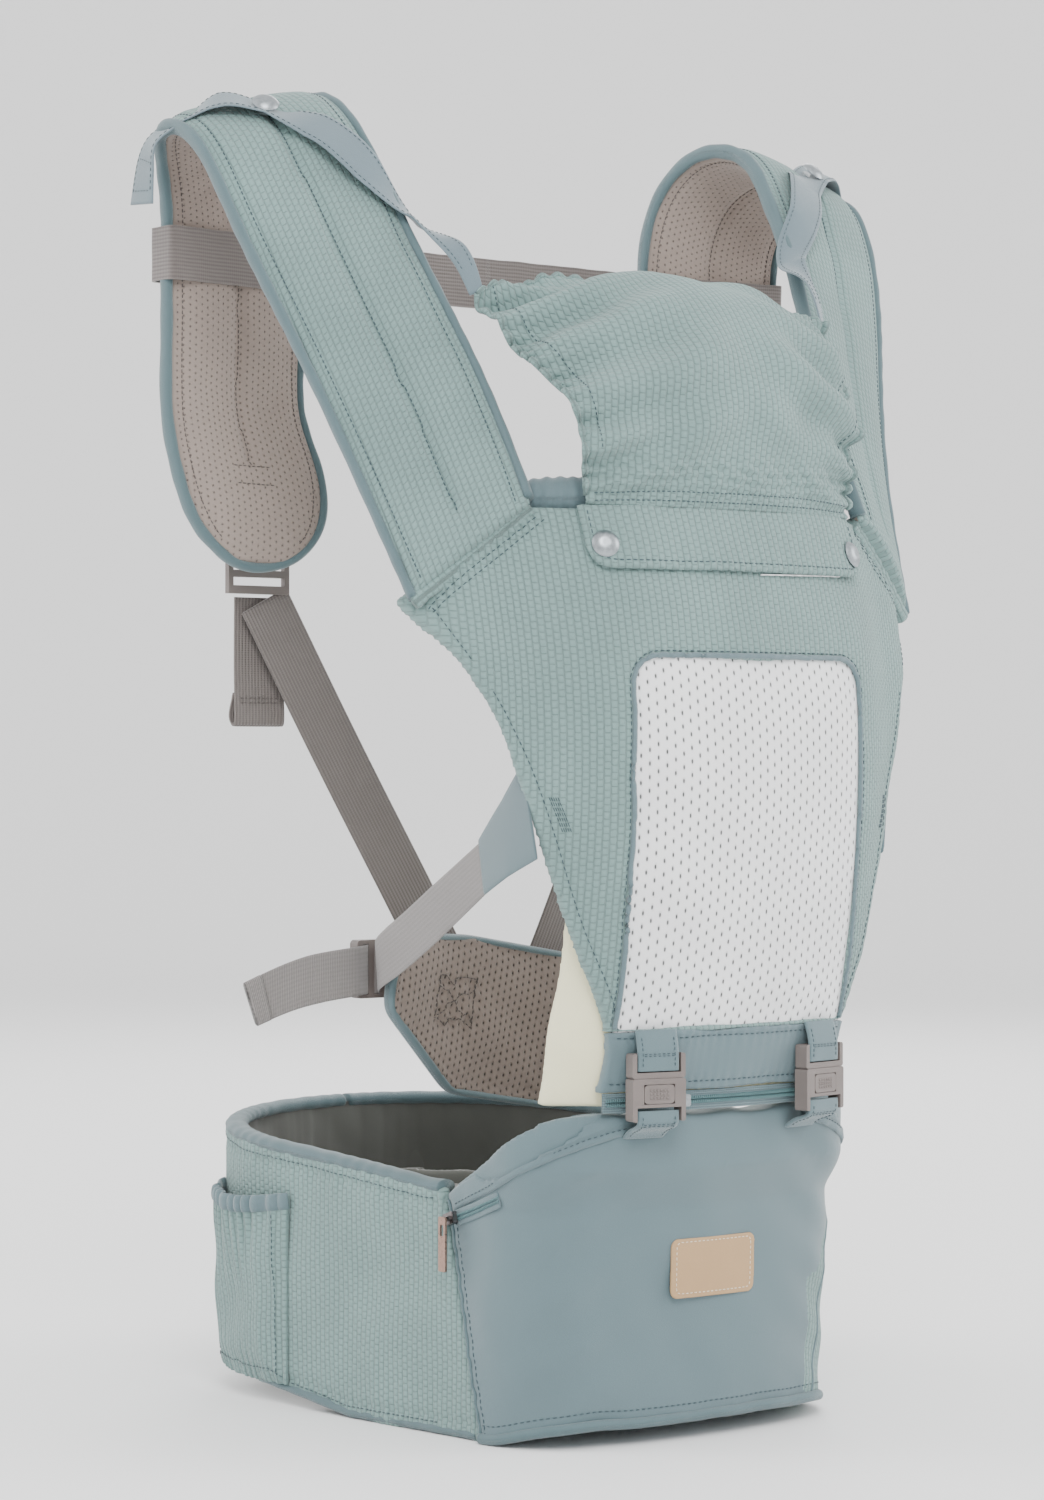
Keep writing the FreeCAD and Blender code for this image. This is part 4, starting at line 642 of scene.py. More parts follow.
def softened(name, node, material, weave, voxel=2.0 * MM, smoothing=3, relief=None):
    """A rounded cloth copy of a CAD node, moved along its normals by relief(points, normals)."""
    copy = link(bpy.data.objects.new("copy_of_" + node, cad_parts[node].data.copy()))
    copy.modifiers.new("weld", "WELD").merge_threshold = 0.01 * MM
    remesh = copy.modifiers.new("remesh", "REMESH")
    remesh.mode = "VOXEL"
    remesh.voxel_size = voxel
    smooth = copy.modifiers.new("smooth", "SMOOTH")
    smooth.factor = 0.5
    smooth.iterations = smoothing
    mesh = bpy.data.meshes.new_from_object(copy.evaluated_get(bpy.context.evaluated_depsgraph_get()))
    points = corners_of(mesh)
    normals = np.array([v.normal for v in mesh.vertices], float)
    faces = [tuple(face.vertices) for face in mesh.polygons]
    bpy.data.objects.remove(copy)
    bpy.data.meshes.remove(mesh)
    coordinates = weave(points)
    if relief is not None:
        points = points + normals * relief(points, normals)[:, None]
    made = piece(name, points, faces, coordinates, material)
    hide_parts(node)
    return made


def dense(line, step=1.5 * MM):
    """A line's points at even small steps, and how far along it they are."""
    line = np.asarray(line, float)
    run = run_of(line)
    want = np.linspace(0, run[-1], max(int(run[-1] / step), 2))
    return rows_at(want, run, line), want


def near(points, line):
    """Distance of each point to a line, and how far along the line its nearest place is."""
    samples, run = dense(line)
    distance = np.empty(len(points))
    place = np.empty(len(points))
    for first in range(0, len(points), 4096):
        some = points[first:first + 4096]
        gaps = np.sum((some[:, None] - samples[None]) ** 2, axis=2)
        best = np.argmin(gaps, axis=1)
        distance[first:first + 4096] = np.sqrt(gaps[np.arange(len(some)), best])
        place[first:first + 4096] = run[best]
    return distance, place


def groove(points, line, depth, width, pucker, period, seed=1):
    """A sewn-down line: a dip along it and small puckers on both sides."""
    distance, place = near(points, line)
    wobble = np.sin(2 * math.pi * place / period + 1.7 * np.sin(place / (period * 1.9) + seed))
    return -depth * np.exp(-(distance / width) ** 2) + pucker * wobble * np.exp(-distance / (period * 0.8))


def tree_of(made):
    """A search tree over a piece's faces."""
    points = [v.co.copy() for v in made.data.vertices]
    return BVHTree.FromPolygons(points, [tuple(face.vertices) for face in made.data.polygons])


def nearest(tree, place):
    """The nearest place on a surface, and its outward normal."""
    spot, normal = tree.find_nearest(Vector(place))[:2]
    return np.array(spot), np.array(normal)


def snapped(tree, line, lift=0.0, step=2.0 * MM):
    """A line laid on a surface: its points and the outward normals there."""
    found = [nearest(tree, place) for place in dense(line, step)[0]]
    normals = np.array([normal for _, normal in found])
    return np.array([spot for spot, _ in found]) + normals * lift, normals


def sew(name, tree, lines, body="carrier", step=2.0 * MM, **looks):
    """Stitches along lines laid on a surface."""
    return stitches(name, [snapped(tree, line, step=step) for line in lines], body, **looks)


def paint_faces(made, material, chosen):
    """Gives the chosen faces another material."""
    made.data.materials.append(MATERIALS[material])
    made.data.polygons.foreach_set("material_index", np.asarray(chosen).astype(np.int32))


def refine(made):
    """Subdivides a piece once, for good."""
    smooth = made.modifiers.new("subdivision", "SUBSURF")
    smooth.levels = 1
    mesh = bpy.data.meshes.new_from_object(made.evaluated_get(bpy.context.evaluated_depsgraph_get()))
    made.modifiers.remove(smooth)
    old = made.data
    made.data = mesh
    bpy.data.meshes.remove(old)
    mesh.shade_smooth()


SIDES = (("left", -1.0, np.array([-1.0, 1.0, 1.0])), ("right", 1.0, np.ones(3)))

# ------------------------------------------------------------------ the panel's surface

FRONT_RADIUS = 0.360
WING_RADIUS = 0.100
FRONT_ANGLE = math.radians(12)
WING_ANGLE = math.radians(34)
PANEL_Y = -0.2415
FULLEST_Z = 0.425
LEAN_ABOVE = 0.385
LEAN_BELOW = 0.700
PANEL_TOP = 0.573
FRONT_X = FRONT_RADIUS * math.sin(FRONT_ANGLE)
WING_X = FRONT_X + WING_RADIUS * (math.sin(WING_ANGLE) - math.sin(FRONT_ANGLE))
PANEL_EDGE = [(0.092, 0.219), (0.093, 0.254), (0.1135, 0.306), (0.139, 0.384), (0.165, 0.456), (0.196, 0.516)]


def bend(x):
    """Fall back and length of arc at a distance x from the panel's middle line."""
    size = np.abs(x)
    low = np.minimum(size, FRONT_X)
    turn = np.arcsin(np.clip(math.sin(FRONT_ANGLE) + (size - FRONT_X) / WING_RADIUS,
                             math.sin(FRONT_ANGLE), math.sin(WING_ANGLE)))
    beyond = np.maximum(size - WING_X, 0.0)
    fall = FRONT_RADIUS - np.sqrt(FRONT_RADIUS ** 2 - low ** 2)
    fall = fall + WING_RADIUS * (math.cos(FRONT_ANGLE) - np.cos(turn)) + beyond * math.tan(WING_ANGLE)
    arc = FRONT_RADIUS * np.arcsin(low / FRONT_RADIUS) + WING_RADIUS * (turn - FRONT_ANGLE)
    arc = arc + beyond / math.cos(WING_ANGLE)
    return fall, arc * np.sign(x)


def lean(z):
    """How far the panel falls back above and below its fullest height."""
    rise = np.asarray(z, float) - FULLEST_Z
    radius = np.where(rise > 0, LEAN_ABOVE, LEAN_BELOW)
    return radius - np.sqrt(radius ** 2 - rise ** 2)


def panel_at(x, z, outward=0.0):
    """Points on the panel's outer face, or off it by outward."""
    x, z = np.broadcast_arrays(np.asarray(x, float), np.asarray(z, float))
    step = 1e-4
    y = PANEL_Y + bend(x)[0] + lean(z)
    slope_x = (bend(x + step)[0] - bend(x - step)[0]) / (2 * step)
    slope_z = (lean(z + step) - lean(z - step)) / (2 * step)
    normal = unit(np.stack([slope_x, -np.ones_like(y), slope_z], axis=-1))
    return np.stack([x, y, z], axis=-1) + normal * np.broadcast_to(outward, y.shape)[..., None]


def panel_weave(points):
    return np.stack([bend(points[:, 0])[1], points[:, 2]], axis=1)


# ------------------------------------------------------------------ panel, window and base band

WINDOW_HALF = 0.088
WINDOW_LOW = 0.258
WINDOW_TOP = 0.482
WINDOW_CORNER = 0.017
WINDOW_TUCK = 3 * MM
EDGE_SEAM = 7 * MM
SHOULDER_SEAM = np.array([[0.196, 0.516], [0.131, 0.573]])


def window_line(grow, outward):
    """The window's border: up one side, over the rounded top corners and down the other."""
    half = WINDOW_HALF + grow
    top = WINDOW_TOP + grow
    radius = WINDOW_CORNER + grow
    turns = np.linspace(0, math.pi / 2, 12)
    up = np.linspace(WINDOW_LOW, top - radius, 40)
    xs = [np.full(40, -half), -half + radius - radius * np.cos(turns),
          np.linspace(-half + radius, half - radius, 40),
          half - radius + radius * np.sin(turns), np.full(40, half)]
    zs = [up, top - radius + radius * np.sin(turns), np.full(40, top),
          top - radius + radius * np.cos(turns), np.linspace(top - radius, WINDOW_LOW, 40)]
    return panel_at(np.concatenate(xs), np.concatenate(zs), outward)


edge_line = spline([(x, 0.0, z) for x, z in PANEL_EDGE], 80)


def panel_relief(points, _normals):
    offset = 0.7 * MM * waves(points, 0.075, 11) + 0.2 * MM * waves(points, 0.03, 12)
    offset += groove(points, window_line(3.5 * MM, 0.0), 0.7 * MM, 1.6 * MM, 0.35 * MM, 8 * MM)
    seam = SHOULDER_SEAM[0] + (SHOULDER_SEAM[1] - SHOULDER_SEAM[0]) * np.linspace(0, 1, 20)[:, None]
    for side in (-1, 1):
        inner = panel_at(side * (edge_line[:, 0] - EDGE_SEAM), edge_line[:, 2])
        offset += groove(points, inner, 0.5 * MM, 1.8 * MM, 0.12 * MM, 11 * MM, 3)
        line = panel_at(side * seam[:, 0] * 0.985, seam[:, 1] - 0.005)
        offset += groove(points, line, 0.8 * MM, 2.0 * MM, 0.9 * MM, 9 * MM, 5)
    return offset


panel = softened("front_panel_knit", "front_panel", "knit", panel_weave, 1.7 * MM, 2, panel_relief)
panel_tree = tree_of(panel)

# the mesh lies deepest at its tucked-in edges
columns = np.linspace(-(WINDOW_HALF + WINDOW_TUCK), WINDOW_HALF + WINDOW_TUCK, 60)
rows = np.linspace(WINDOW_LOW - 4 * MM, WINDOW_TOP + WINDOW_TUCK, 70)
grid_x, grid_z = np.meshgrid(columns, rows)
window_room = np.minimum(np.minimum(WINDOW_HALF - np.abs(grid_x), WINDOW_TOP - grid_z), grid_z - WINDOW_LOW)
inside = np.clip(window_room / 0.022, 0, 1)
slack = waves(np.stack([grid_x, grid_x * 0, grid_z], -1), 0.06, 21)
swell = 1.7 * MM * inside - 0.9 * MM + 0.6 * MM * slack * inside
window = shell("window_mesh", panel_at(grid_x, grid_z, swell - 1.3 * MM),
               panel_at(grid_x, grid_z, swell - 3.6 * MM),
               "white_mesh", coordinates=(bend(grid_x)[1], grid_z))
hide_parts("mesh_window")
border_line, border_normals = snapped(panel_tree, window_line(1.6 * MM, 0.5 * MM))
tube("window_piping", border_line, 1.7 * MM, 1.3 * MM, "twill", normals=border_normals)
sew("window_stitching", panel_tree, [window_line(4.2 * MM, 0.0)], slot="teal_knit")
sew("panel_edge_stitching", panel_tree,
    [panel_at(side * (edge_line[:, 0] - EDGE_SEAM + 1 * MM), edge_line[:, 2]) for side in (-1, 1)],
    slot="teal_knit")

BASE_LOW = 0.219
BASE_TOP = 0.256
BASE_SEAMS = (BASE_TOP - 4 * MM, BASE_LOW + 5 * MM)


def base_relief(points, _normals):
    offset = 0.5 * MM * waves(points, 0.04, 31)
    for z in BASE_SEAMS:
        line = panel_at(np.linspace(-0.09, 0.09, 60), np.full(60, z))
        offset += groove(points, line, 0.6 * MM, 1.5 * MM, 0.3 * MM, 7 * MM, 2)
    return offset


base = softened("base_band_twill", "panel_base_band", "twill", panel_weave, 1.5 * MM, 2, base_relief)
base_x = np.linspace(-0.089, 0.089, 60)
sew("base_band_stitching", tree_of(base), [panel_at(base_x, np.full(60, z), 1 * MM) for z in BASE_SEAMS])

# the cream guard's sides are drawn in towards the panel
GUARD_DRAW = 12 * MM
guard = softened("leg_guard_cream", "leg_guard", "cream", panel_weave, 1.8 * MM, 4,
                 wavy((0.9 * MM, 0.07, 41)))
for vertex in guard.data.vertices:
    beyond = min(max((abs(vertex.co.x) - 0.085) / 0.037, 0.0), 1.0)
    vertex.co.x -= math.copysign(GUARD_DRAW * beyond, vertex.co.x)

ROLL_HALF = 0.136
ROLL_Z = 0.580
roll_x = np.linspace(-ROLL_HALF, ROLL_HALF, 220)
roll_path = panel_at(roll_x, np.full(220, PANEL_TOP), -0.0185)
roll_path[:, 2] = ROLL_Z
wrinkle = 1.0 + 0.05 * np.sin(np.abs(roll_x) * 900) * np.clip((np.abs(roll_x) - 0.085) / 0.03, 0, 1)
wrinkle *= 1.0 + 0.03 * waves(roll_path, 0.05, 51)
roll_end = np.sqrt(np.clip(1.02 - (np.abs(roll_x) / ROLL_HALF) ** 24, 0.05, 1))
roll = tube("collar_roll", roll_path, 0.0132 * wrinkle * roll_end, 0.0128 * wrinkle * roll_end, "twill",
            sides=30)
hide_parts("collar")

# ------------------------------------------------------------------ flap with its snaps, below the hood

FLAP_HALF = 0.106
FLAP_LOW = 0.535
FLAP_CORNER = 0.012
FLAP_STAND = 2.6 * MM
FLAP_WALL = 1.9 * MM
flap_s, flap_t = np.meshgrid(np.linspace(-1, 1, 110), np.linspace(0, 1, 30))
flap_x = flap_s * FLAP_HALF
into_corner = np.clip(np.abs(flap_s) * FLAP_HALF - (FLAP_HALF - FLAP_CORNER), 0, FLAP_CORNER)
low = FLAP_LOW + (FLAP_CORNER - np.sqrt(np.clip(FLAP_CORNER ** 2 - into_corner ** 2, 0, None)))
flap_z = low + (PANEL_TOP - low) * flap_t
edge_fall = np.minimum((1 - np.abs(flap_s)) * FLAP_HALF, flap_z - low)
round_off = FLAP_WALL * rounded_edge(edge_fall, 3.0 * MM)
ripple = 0.5 * MM * waves(np.stack([flap_x, flap_s * 0, flap_z], -1), 0.045, 61)
ripple = ripple + 0.35 * MM * np.sin(flap_s * 60 + 2 * np.sin(flap_s * 9)) * (1 - flap_t)
flap = shell("hood_flap_knit", panel_at(flap_x, flap_z, FLAP_STAND + ripple + round_off),
             panel_at(flap_x, flap_z, FLAP_STAND + ripple - round_off), "knit",
             coordinates=(bend(flap_x)[1], flap_z))
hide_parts("hood_flap")


def flap_line(inset):
    """The flap's seam: down one side, along the bottom and up the other."""
    inner = FLAP_HALF - inset
    radius = FLAP_CORNER - inset * 0.5
    turn = np.linspace(0, math.pi / 2, 10)
    level = FLAP_LOW + inset
    xs = [np.full(10, -inner), -inner + radius - radius * np.cos(turn),
          np.linspace(-inner + radius, inner - radius, 60)]
    zs = [np.linspace(PANEL_TOP - 0.002, level + radius, 10), level + radius - radius * np.sin(turn),
          np.full(60, level)]
    xs += [-xs[1][::-1], np.full(10, inner)]
    zs += [zs[1][::-1], zs[0][::-1]]
    return panel_at(np.concatenate(xs), np.concatenate(zs), 4.5 * MM)


sew("flap_stitching", tree_of(flap), [flap_line(4.5 * MM)])
white_z = np.linspace(FLAP_LOW - 1 * MM, FLAP_LOW + 0.5 * MM, 40)
tube("flap_white_edge", panel_at(np.linspace(0.010, 0.082, 40), white_z, 0.9 * MM), 0.9 * MM, 0.5 * MM,
     "white_mesh",
     sides=8)

# ------------------------------------------------------------------ hood

HOOD_MIDDLE = [(-0.2164, 0.574), (-0.224, 0.600), (-0.229, 0.630), (-0.224, 0.665), (-0.200, 0.700),
               (-0.160, 0.722), (-0.122, 0.723)]
HOOD_EDGE = [(0.103, -0.1975, 0.574), (0.106, -0.200, 0.600), (0.109, -0.199, 0.625), (0.114, -0.188, 0.645),
             (0.124, -0.161, 0.667), (0.133, -0.144, 0.690), (0.139, -0.133, 0.704)]
HOOD_ROWS = 150
HOOD_COLUMNS = 220
HOOD_WALL = 1.9 * MM
EDGE_GATHER = 0.0105
BACK_GATHER = 0.012
hood_middle = spline([(0.0, y, z) for y, z in HOOD_MIDDLE], HOOD_ROWS)
hood_side = spline(HOOD_EDGE, HOOD_ROWS)
share = np.linspace(-1, 1, HOOD_COLUMNS)
fullness = np.abs(share) ** 2.4
hood = np.empty((HOOD_ROWS, HOOD_COLUMNS, 3))
hood[:, :, 0] = hood_side[:, :1] * share[None]
for k in (1, 2):
    hood[:, :, k] = hood_middle[:, k:k + 1] + (hood_side[:, k:k + 1] - hood_middle[:,
                                                                                   k:k + 1]) * fullness[None]
hood_out = -normals_of(hood)
if hood_out[HOOD_ROWS // 2, HOOD_COLUMNS // 2, 1] > 0:
    hood_out = -hood_out
hood_across, hood_down = metric(hood)
side_gap = hood_across[:, -1:] - np.abs(hood_across)
top_gap = hood_down[-1:] - hood_down
v_share = hood_down / hood_down[-1:]


def edge_gathers(down, side):
    """The small gathers along the elastic of one side."""
    return np.sin(2 * math.pi * down / EDGE_GATHER + 2.1 * np.sin(down / 0.017) + side)


def back_gathers(across):
    return np.sin(2 * math.pi * across / BACK_GATHER + 1.8 * np.sin(across / 0.02))


large = np.sin(2 * math.pi * (hood_down - 0.35 * side_gap) / 0.030 + 1.6 * np.sin(hood_down / 0.03)
               + 0.6 * np.sign(hood_across))
wide = np.sin(2 * math.pi * (hood_down - 0.55 * side_gap) / 0.042 + 1.0)
shirr = np.sin(2 * math.pi * hood_down / 0.0062 + 1.1 * np.sin(hood_across / 0.013)
               + 0.9 * np.sin(hood_across / 0.031))
shirr += 0.8 * np.sin(2 * math.pi * hood_across / 0.017 + 3.0 * np.sin(hood_down / 0.004))
fold = 2.0 * MM * edge_gathers(hood_down, np.sign(hood_across)) * np.exp(-side_gap / 0.011)
fold += 6.4 * MM * large * np.exp(-((side_gap - 0.018) / 0.032) ** 2) * np.clip(v_share * 4, 0, 1)
fold += 4.4 * MM * wide * np.exp(-((side_gap - 0.060) / 0.042) ** 2) * np.clip(v_share * 3, 0, 1)
fold += 1.0 * MM * back_gathers(hood_across) * np.exp(-top_gap / 0.012)
fold += 0.75 * MM * shirr * np.exp(-((hood_down - 0.020) / 0.013) ** 2)
fold += 1.6 * MM * waves(hood, 0.055, 71) * np.clip(v_share * 5, 0, 1) * np.clip(top_gap / 0.03, 0.2, 1)
fold += 3.0 * MM * np.sin(math.pi * v_share) * (1 - share[None] ** 2)
hood_skin = hood + hood_out * (fold + 0.2 * MM)[:, :, None]
hood_in = normals_of(hood_skin)
hood_in *= np.sign(np.sum(hood_in * hood_out, axis=2, keepdims=True))


def over_seam(made):
    """Bakes the transform of a piece that lies across the seam between the carrier and the hood, just above
    it.
    """
    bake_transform(made)


hood_piece = shell("hood_knit", hood_skin, hood_skin - hood_in * HOOD_WALL, "knit", None,
                   coordinates=(hood_across, hood_down))
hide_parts("hood")
over_seam(hood_piece)
for name, side, column in (("left", -1, 0), ("right", 1, HOOD_COLUMNS - 1)):
    bead = 1.9 * MM * (1.0 + 0.26 * edge_gathers(hood_down[6:, column], side))
    over_seam(tube("hood_elastic_" + name, hood_skin[6:, column], bead, bead, "knit", None, sides=12))
bead = 1.5 * MM * (1.0 + 0.22 * back_gathers(hood_across[-1]))
tube("hood_elastic_back", hood_skin[-1], bead, bead, "knit", "hood", sides=12)
inner = np.abs(share) < 1 - 0.004 / 0.11
for number, distance in enumerate((0.0045, 0.0105)):
    row = int(np.argmin(np.abs(hood_down[:, HOOD_COLUMNS // 2] - distance)))
    over_seam(stitches("hood_seam_stitching_%d" % number, [(hood_skin[row][inner], hood_in[row][inner])],
                       None,
                       length=2.2 * MM, gap=1.2 * MM))
stitches("hood_hem_stitching", [(hood_skin[30:, column], hood_in[30:, column])
                                for column in (9, HOOD_COLUMNS - 10)],
         "hood", length=2.2 * MM, gap=1.4 * MM)

# ------------------------------------------------------------------ shoulder pads

# the right pad's outer and inner edge, from the panel over the shoulder and down the back
PAD_STATIONS = [
    ((0.196, -0.149, 0.517), (0.1315, -0.180, 0.5745)), ((0.214, -0.110, 0.600), (0.139, -0.133, 0.660)),
    ((0.237, -0.077, 0.680), (0.156, -0.087, 0.743)), ((0.260, -0.046, 0.755), (0.163, -0.047, 0.806)),
    ((0.270, -0.010, 0.808), (0.166, -0.011, 0.838)), ((0.269, 0.022, 0.814), (0.161, 0.025, 0.841)),
    ((0.257, 0.044, 0.797), (0.152, 0.054, 0.818)), ((0.250, 0.050, 0.768), (0.143, 0.062, 0.774)),
    ((0.250, 0.050, 0.735), (0.143, 0.062, 0.735)), ((0.250, 0.050, 0.690), (0.143, 0.062, 0.690)),
    ((0.250, 0.050, 0.645), (0.143, 0.061, 0.645)), ((0.243, 0.048, 0.603), (0.138, 0.044, 0.600)),
    ((0.226, 0.045, 0.565), (0.151, 0.035, 0.561)), ((0.205, 0.042, 0.547), (0.172, 0.038, 0.545))]
PAD_ROWS = 170
PAD_COLUMNS = 27
PAD_HALF = 6.6 * MM
PAD_CROWN = 2.8 * MM
PAD_SEAM = 8.5 * MM
pad_edges = spline(np.array([outer + inner for outer, inner in PAD_STATIONS]), PAD_ROWS)
pad_outer = pad_edges[:, :3]
pad_across = pad_edges[:, 3:] - pad_outer
pad_share = np.linspace(0, 1, PAD_COLUMNS)
pad_middle = pad_outer[:, None] + pad_across[:, None] * pad_share[None, :, None]
pad_normal = unit(np.cross(np.gradient(pad_middle[:, PAD_COLUMNS // 2], axis=0), pad_across))
pad_width = np.linalg.norm(pad_across, axis=1)
pad_length = run_of(pad_middle[:, PAD_COLUMNS // 2])
PAD_END = float(pad_length[-1])
GROOVE_END = PAD_END - 0.062
start_gap = pad_length[:, None]
rim_gap = np.minimum(pad_width[:, None] * np.minimum(pad_share, 1 - pad_share)[None],
                     (PAD_END - pad_length)[:, None] + 1 * MM)
middle_gap = pad_width[:, None] * np.abs(pad_share - 0.5)[None]
seam_out = np.exp(-(middle_gap / 3.2e-3) ** 2) * np.clip((start_gap - 0.020) / 0.006, 0, 1)
seam_in = np.exp(-(middle_gap / 3.0e-3) ** 2) * \
    np.clip((start_gap - 0.03) / 0.01, 0, 1) * np.clip((GROOVE_END - start_gap) / 0.005, 0, 1)
rim_seam = np.exp(-((rim_gap - PAD_SEAM) / 2.0e-3) ** 2)
puff = rounded_edge(rim_gap, 14 * MM)
crown = PAD_CROWN * (1 - (2 * pad_share[None] - 1) ** 2)
outer_lift = (PAD_HALF + crown) * puff - 4.9 * MM * seam_out - 1.6 * MM * rim_seam
inner_lift = PAD_HALF * puff - 4.2 * MM * seam_in - 1.5 * MM * rim_seam
outer_lift = outer_lift + 0.5 * MM * waves(pad_middle, 0.05, 81) * puff
inner_lift = inner_lift + 0.5 * MM * waves(pad_middle, 0.04, 82) * puff
pad_out = pad_middle + pad_normal[:, None] * outer_lift[:, :, None]
pad_in = pad_middle - pad_normal[:, None] * inner_lift[:, :, None]
held = np.maximum(np.maximum(np.clip(1 - rim_gap / 7e-3, 0, 1), rim_seam),
                  np.clip(1 - start_gap / 8e-3, 0, 1))
pad_pins = np.concatenate([np.maximum(held, seam_out).ravel(), np.maximum(held, seam_in).ravel()])
pad_cloth = ((pad_share[None] - 0.5) * pad_width[:, None],
             np.broadcast_to(pad_length[:, None], rim_gap.shape))
pad_shape = None
PAD_TREES = {}
for name, side, turn in SIDES[::-1]:
    pad = shell("pad_knit_" + name, pad_out * turn, pad_in * turn, "knit",
                coordinates=pad_cloth)
    if pad_shape is None:
        inflate(pad, pad_pins, 3.2, frames=14, cap=3.2 * MM)
        pad_shape = corners_of(pad.data)
    else:
        pad.data.vertices.foreach_set("co", (pad_shape * turn).astype(np.float32).ravel())
        pad.data.update()
    lowest = np.array([min(face.vertices) for face in pad.data.polygons])
    paint_faces(pad, "pad_mesh", lowest >= PAD_ROWS * PAD_COLUMNS)
    refine(pad)
    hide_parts("shoulder_pad_" + name)
    PAD_TREES[name] = tree_of(pad)


def pad_line(share_across, start, end, lift):
    """A line along the right pad at a share of its width, between two lengths."""
    wanted = (pad_length >= start) & (pad_length <= end)
    shares = np.broadcast_to(share_across, (PAD_ROWS,))
    return (pad_outer + pad_across * shares[:, None] + pad_normal * lift)[wanted]


OVER_PAD = 8 * MM
UNDER_PAD = -6 * MM
SEAM_ENDS = np.array([[0.197, 0.0, 0.5155], [0.130, 0.0, 0.5735]])
seam_share = np.clip(PAD_SEAM / pad_width, 0, 0.42)
outer_seams = [pad_line(0.5, 0.022, PAD_END - 0.02, OVER_PAD)]
outer_seams += [pad_line(s, 0.003, PAD_END - 0.012, OVER_PAD) for s in (seam_share, 1 - seam_share)]
inner_seams = [pad_line(0.5, 0.03, GROOVE_END, UNDER_PAD)]
inner_seams += [pad_line(s, 0.01, PAD_END - 0.012, UNDER_PAD) for s in (seam_share, 1 - seam_share)]
low_row = int(np.argmin(np.abs(pad_length - GROOVE_END)))
for row in (low_row, low_row + 3):
    inner_seams.append(np.array([pad_outer[row] + pad_across[row] * s - pad_normal[row] * 0.006
                                 for s in (0.36, 0.5, 0.64)]))
rim_run = np.concatenate([pad_outer[:-2], pad_outer[-2:].mean(axis=0)[None],
                          pad_edges[-2:, 3:].mean(axis=0)[None],
                          pad_edges[:-2, 3:][::-1]])
rim_run = spline(rim_run[::3], 420)
rim_normals = np.concatenate([pad_normal[:-1], pad_normal[:-1][::-1]])
steps = np.linspace(0, 1, 420)
rim_normals = rows_at(steps, np.linspace(0, 1, len(rim_normals)), rim_normals)
pinch = 1 + 0.04 * np.sin(steps * 330 + 3 * np.sin(steps * 41))
ridge = SEAM_ENDS[0] + (SEAM_ENDS[1] - SEAM_ENDS[0]) * np.linspace(0, 1, 40)[:, None]
ridge_path = panel_at(ridge[:, 0], ridge[:, 2], -2.0 * MM)
ridge_lump = 1 + 0.07 * np.sin(np.linspace(0, 46, 40)) + 0.04 * np.sin(np.linspace(0, 101, 40))
for name, side, turn in SIDES:
    tree = PAD_TREES[name]
    sew("pad_stitching_" + name, tree, [line * turn for line in outer_seams], slot="teal_knit",
        length=2.6 * MM,
        gap=1.1 * MM, radius=0.45 * MM)
    sew("pad_lining_stitching_" + name, tree, [line * turn for line in inner_seams], material="taupe_thread",
        slot="taupe_mesh", length=2.4 * MM, gap=1.0 * MM, radius=0.4 * MM)
    tube("pad_binding_" + name, rim_run * turn, 3.3 * MM * pinch, 5.2 * MM * pinch, "rim",
         normals=rim_normals * turn, sides=18)
    tube("strap_seam_" + name, ridge_path * turn, 5.2 * MM * ridge_lump, 5.6 * MM * ridge_lump, "knit",
         sides=16)
    sew("strap_seam_stitching_" + name, panel_tree,
        [panel_at(ridge[:, 0] - drop * 0.62, ridge[:, 2] - drop * 0.75, 1 * MM) * turn
         for drop in (0.0065, 0.0105)],
        slot="teal_knit")

# ------------------------------------------------------------------ hood straps over the pads

# places on the right pad that the strap passes over, and its height above each
STRAP_TOUCH = [(0.156, -0.084, 0.752), (0.176, -0.062, 0.782), (0.199, -0.042, 0.812), (0.222, -0.024, 0.824),
               (0.244, -0.004, 0.822), (0.262, 0.008, 0.816)]
STRAP_LIFTS = [8.2 * MM, 6.2 * MM, 5.0 * MM, 4.2 * MM, 4.6 * MM, 7.0 * MM]
STRAP_START = [((0.139, -0.134, 0.706), (0.6, -0.65, 0.4)), ((0.1425, -0.1180, 0.733), (0.45, -0.72, 0.52))]
STRAP_HANG = [((0.277, 0.020, 0.808), (0.8, 0.1, 0.6)), ((0.2795, 0.027, 0.790), (1, 0.1, 0.1)),
              ((0.2795, 0.030, 0.768), (1, 0, 0))]
STRAP_COUNT = 150
SHOULDER = np.array([0.2, 0.0, 0.7])
stations = list(STRAP_START)
for place, lift in zip(STRAP_TOUCH, STRAP_LIFTS):
    spot, normal = nearest(PAD_TREES["right"], place)
    if np.dot(normal, spot - SHOULDER) < 0:
        normal = -normal
    stations.append((spot + normal * lift, normal))
stations += STRAP_HANG
strap_middle = spline([s[0] for s in stations], STRAP_COUNT)
chord = run_of(np.array([s[0] for s in stations], float))
strap_normal = rows_at(np.linspace(0, chord[-1], STRAP_COUNT), chord,
                       np.array([s[1] for s in stations], float))
strap_run = np.gradient(strap_middle, axis=0)
strap_side = unit(np.cross(strap_run, strap_normal))
strap_normal = unit(np.cross(strap_side, strap_run))
strap_half = np.interp(np.linspace(0, 1, STRAP_COUNT), [0, 0.08, 0.22, 0.42, 1],
                       [0.0045, 0.0065, 0.0095, 0.0138, 0.014])
strap_middle = strap_middle + strap_normal * (0.5 * MM * np.sin(np.linspace(0, 19, STRAP_COUNT)))[:, None]
strap_lines = []
for sign in (-1, 1):
    line = strap_middle + strap_side * (strap_half - 2.6 * MM)[:, None] * sign + strap_normal * 0.8 * MM
    strap_lines.append((line[8:-3], strap_normal[8:-3]))
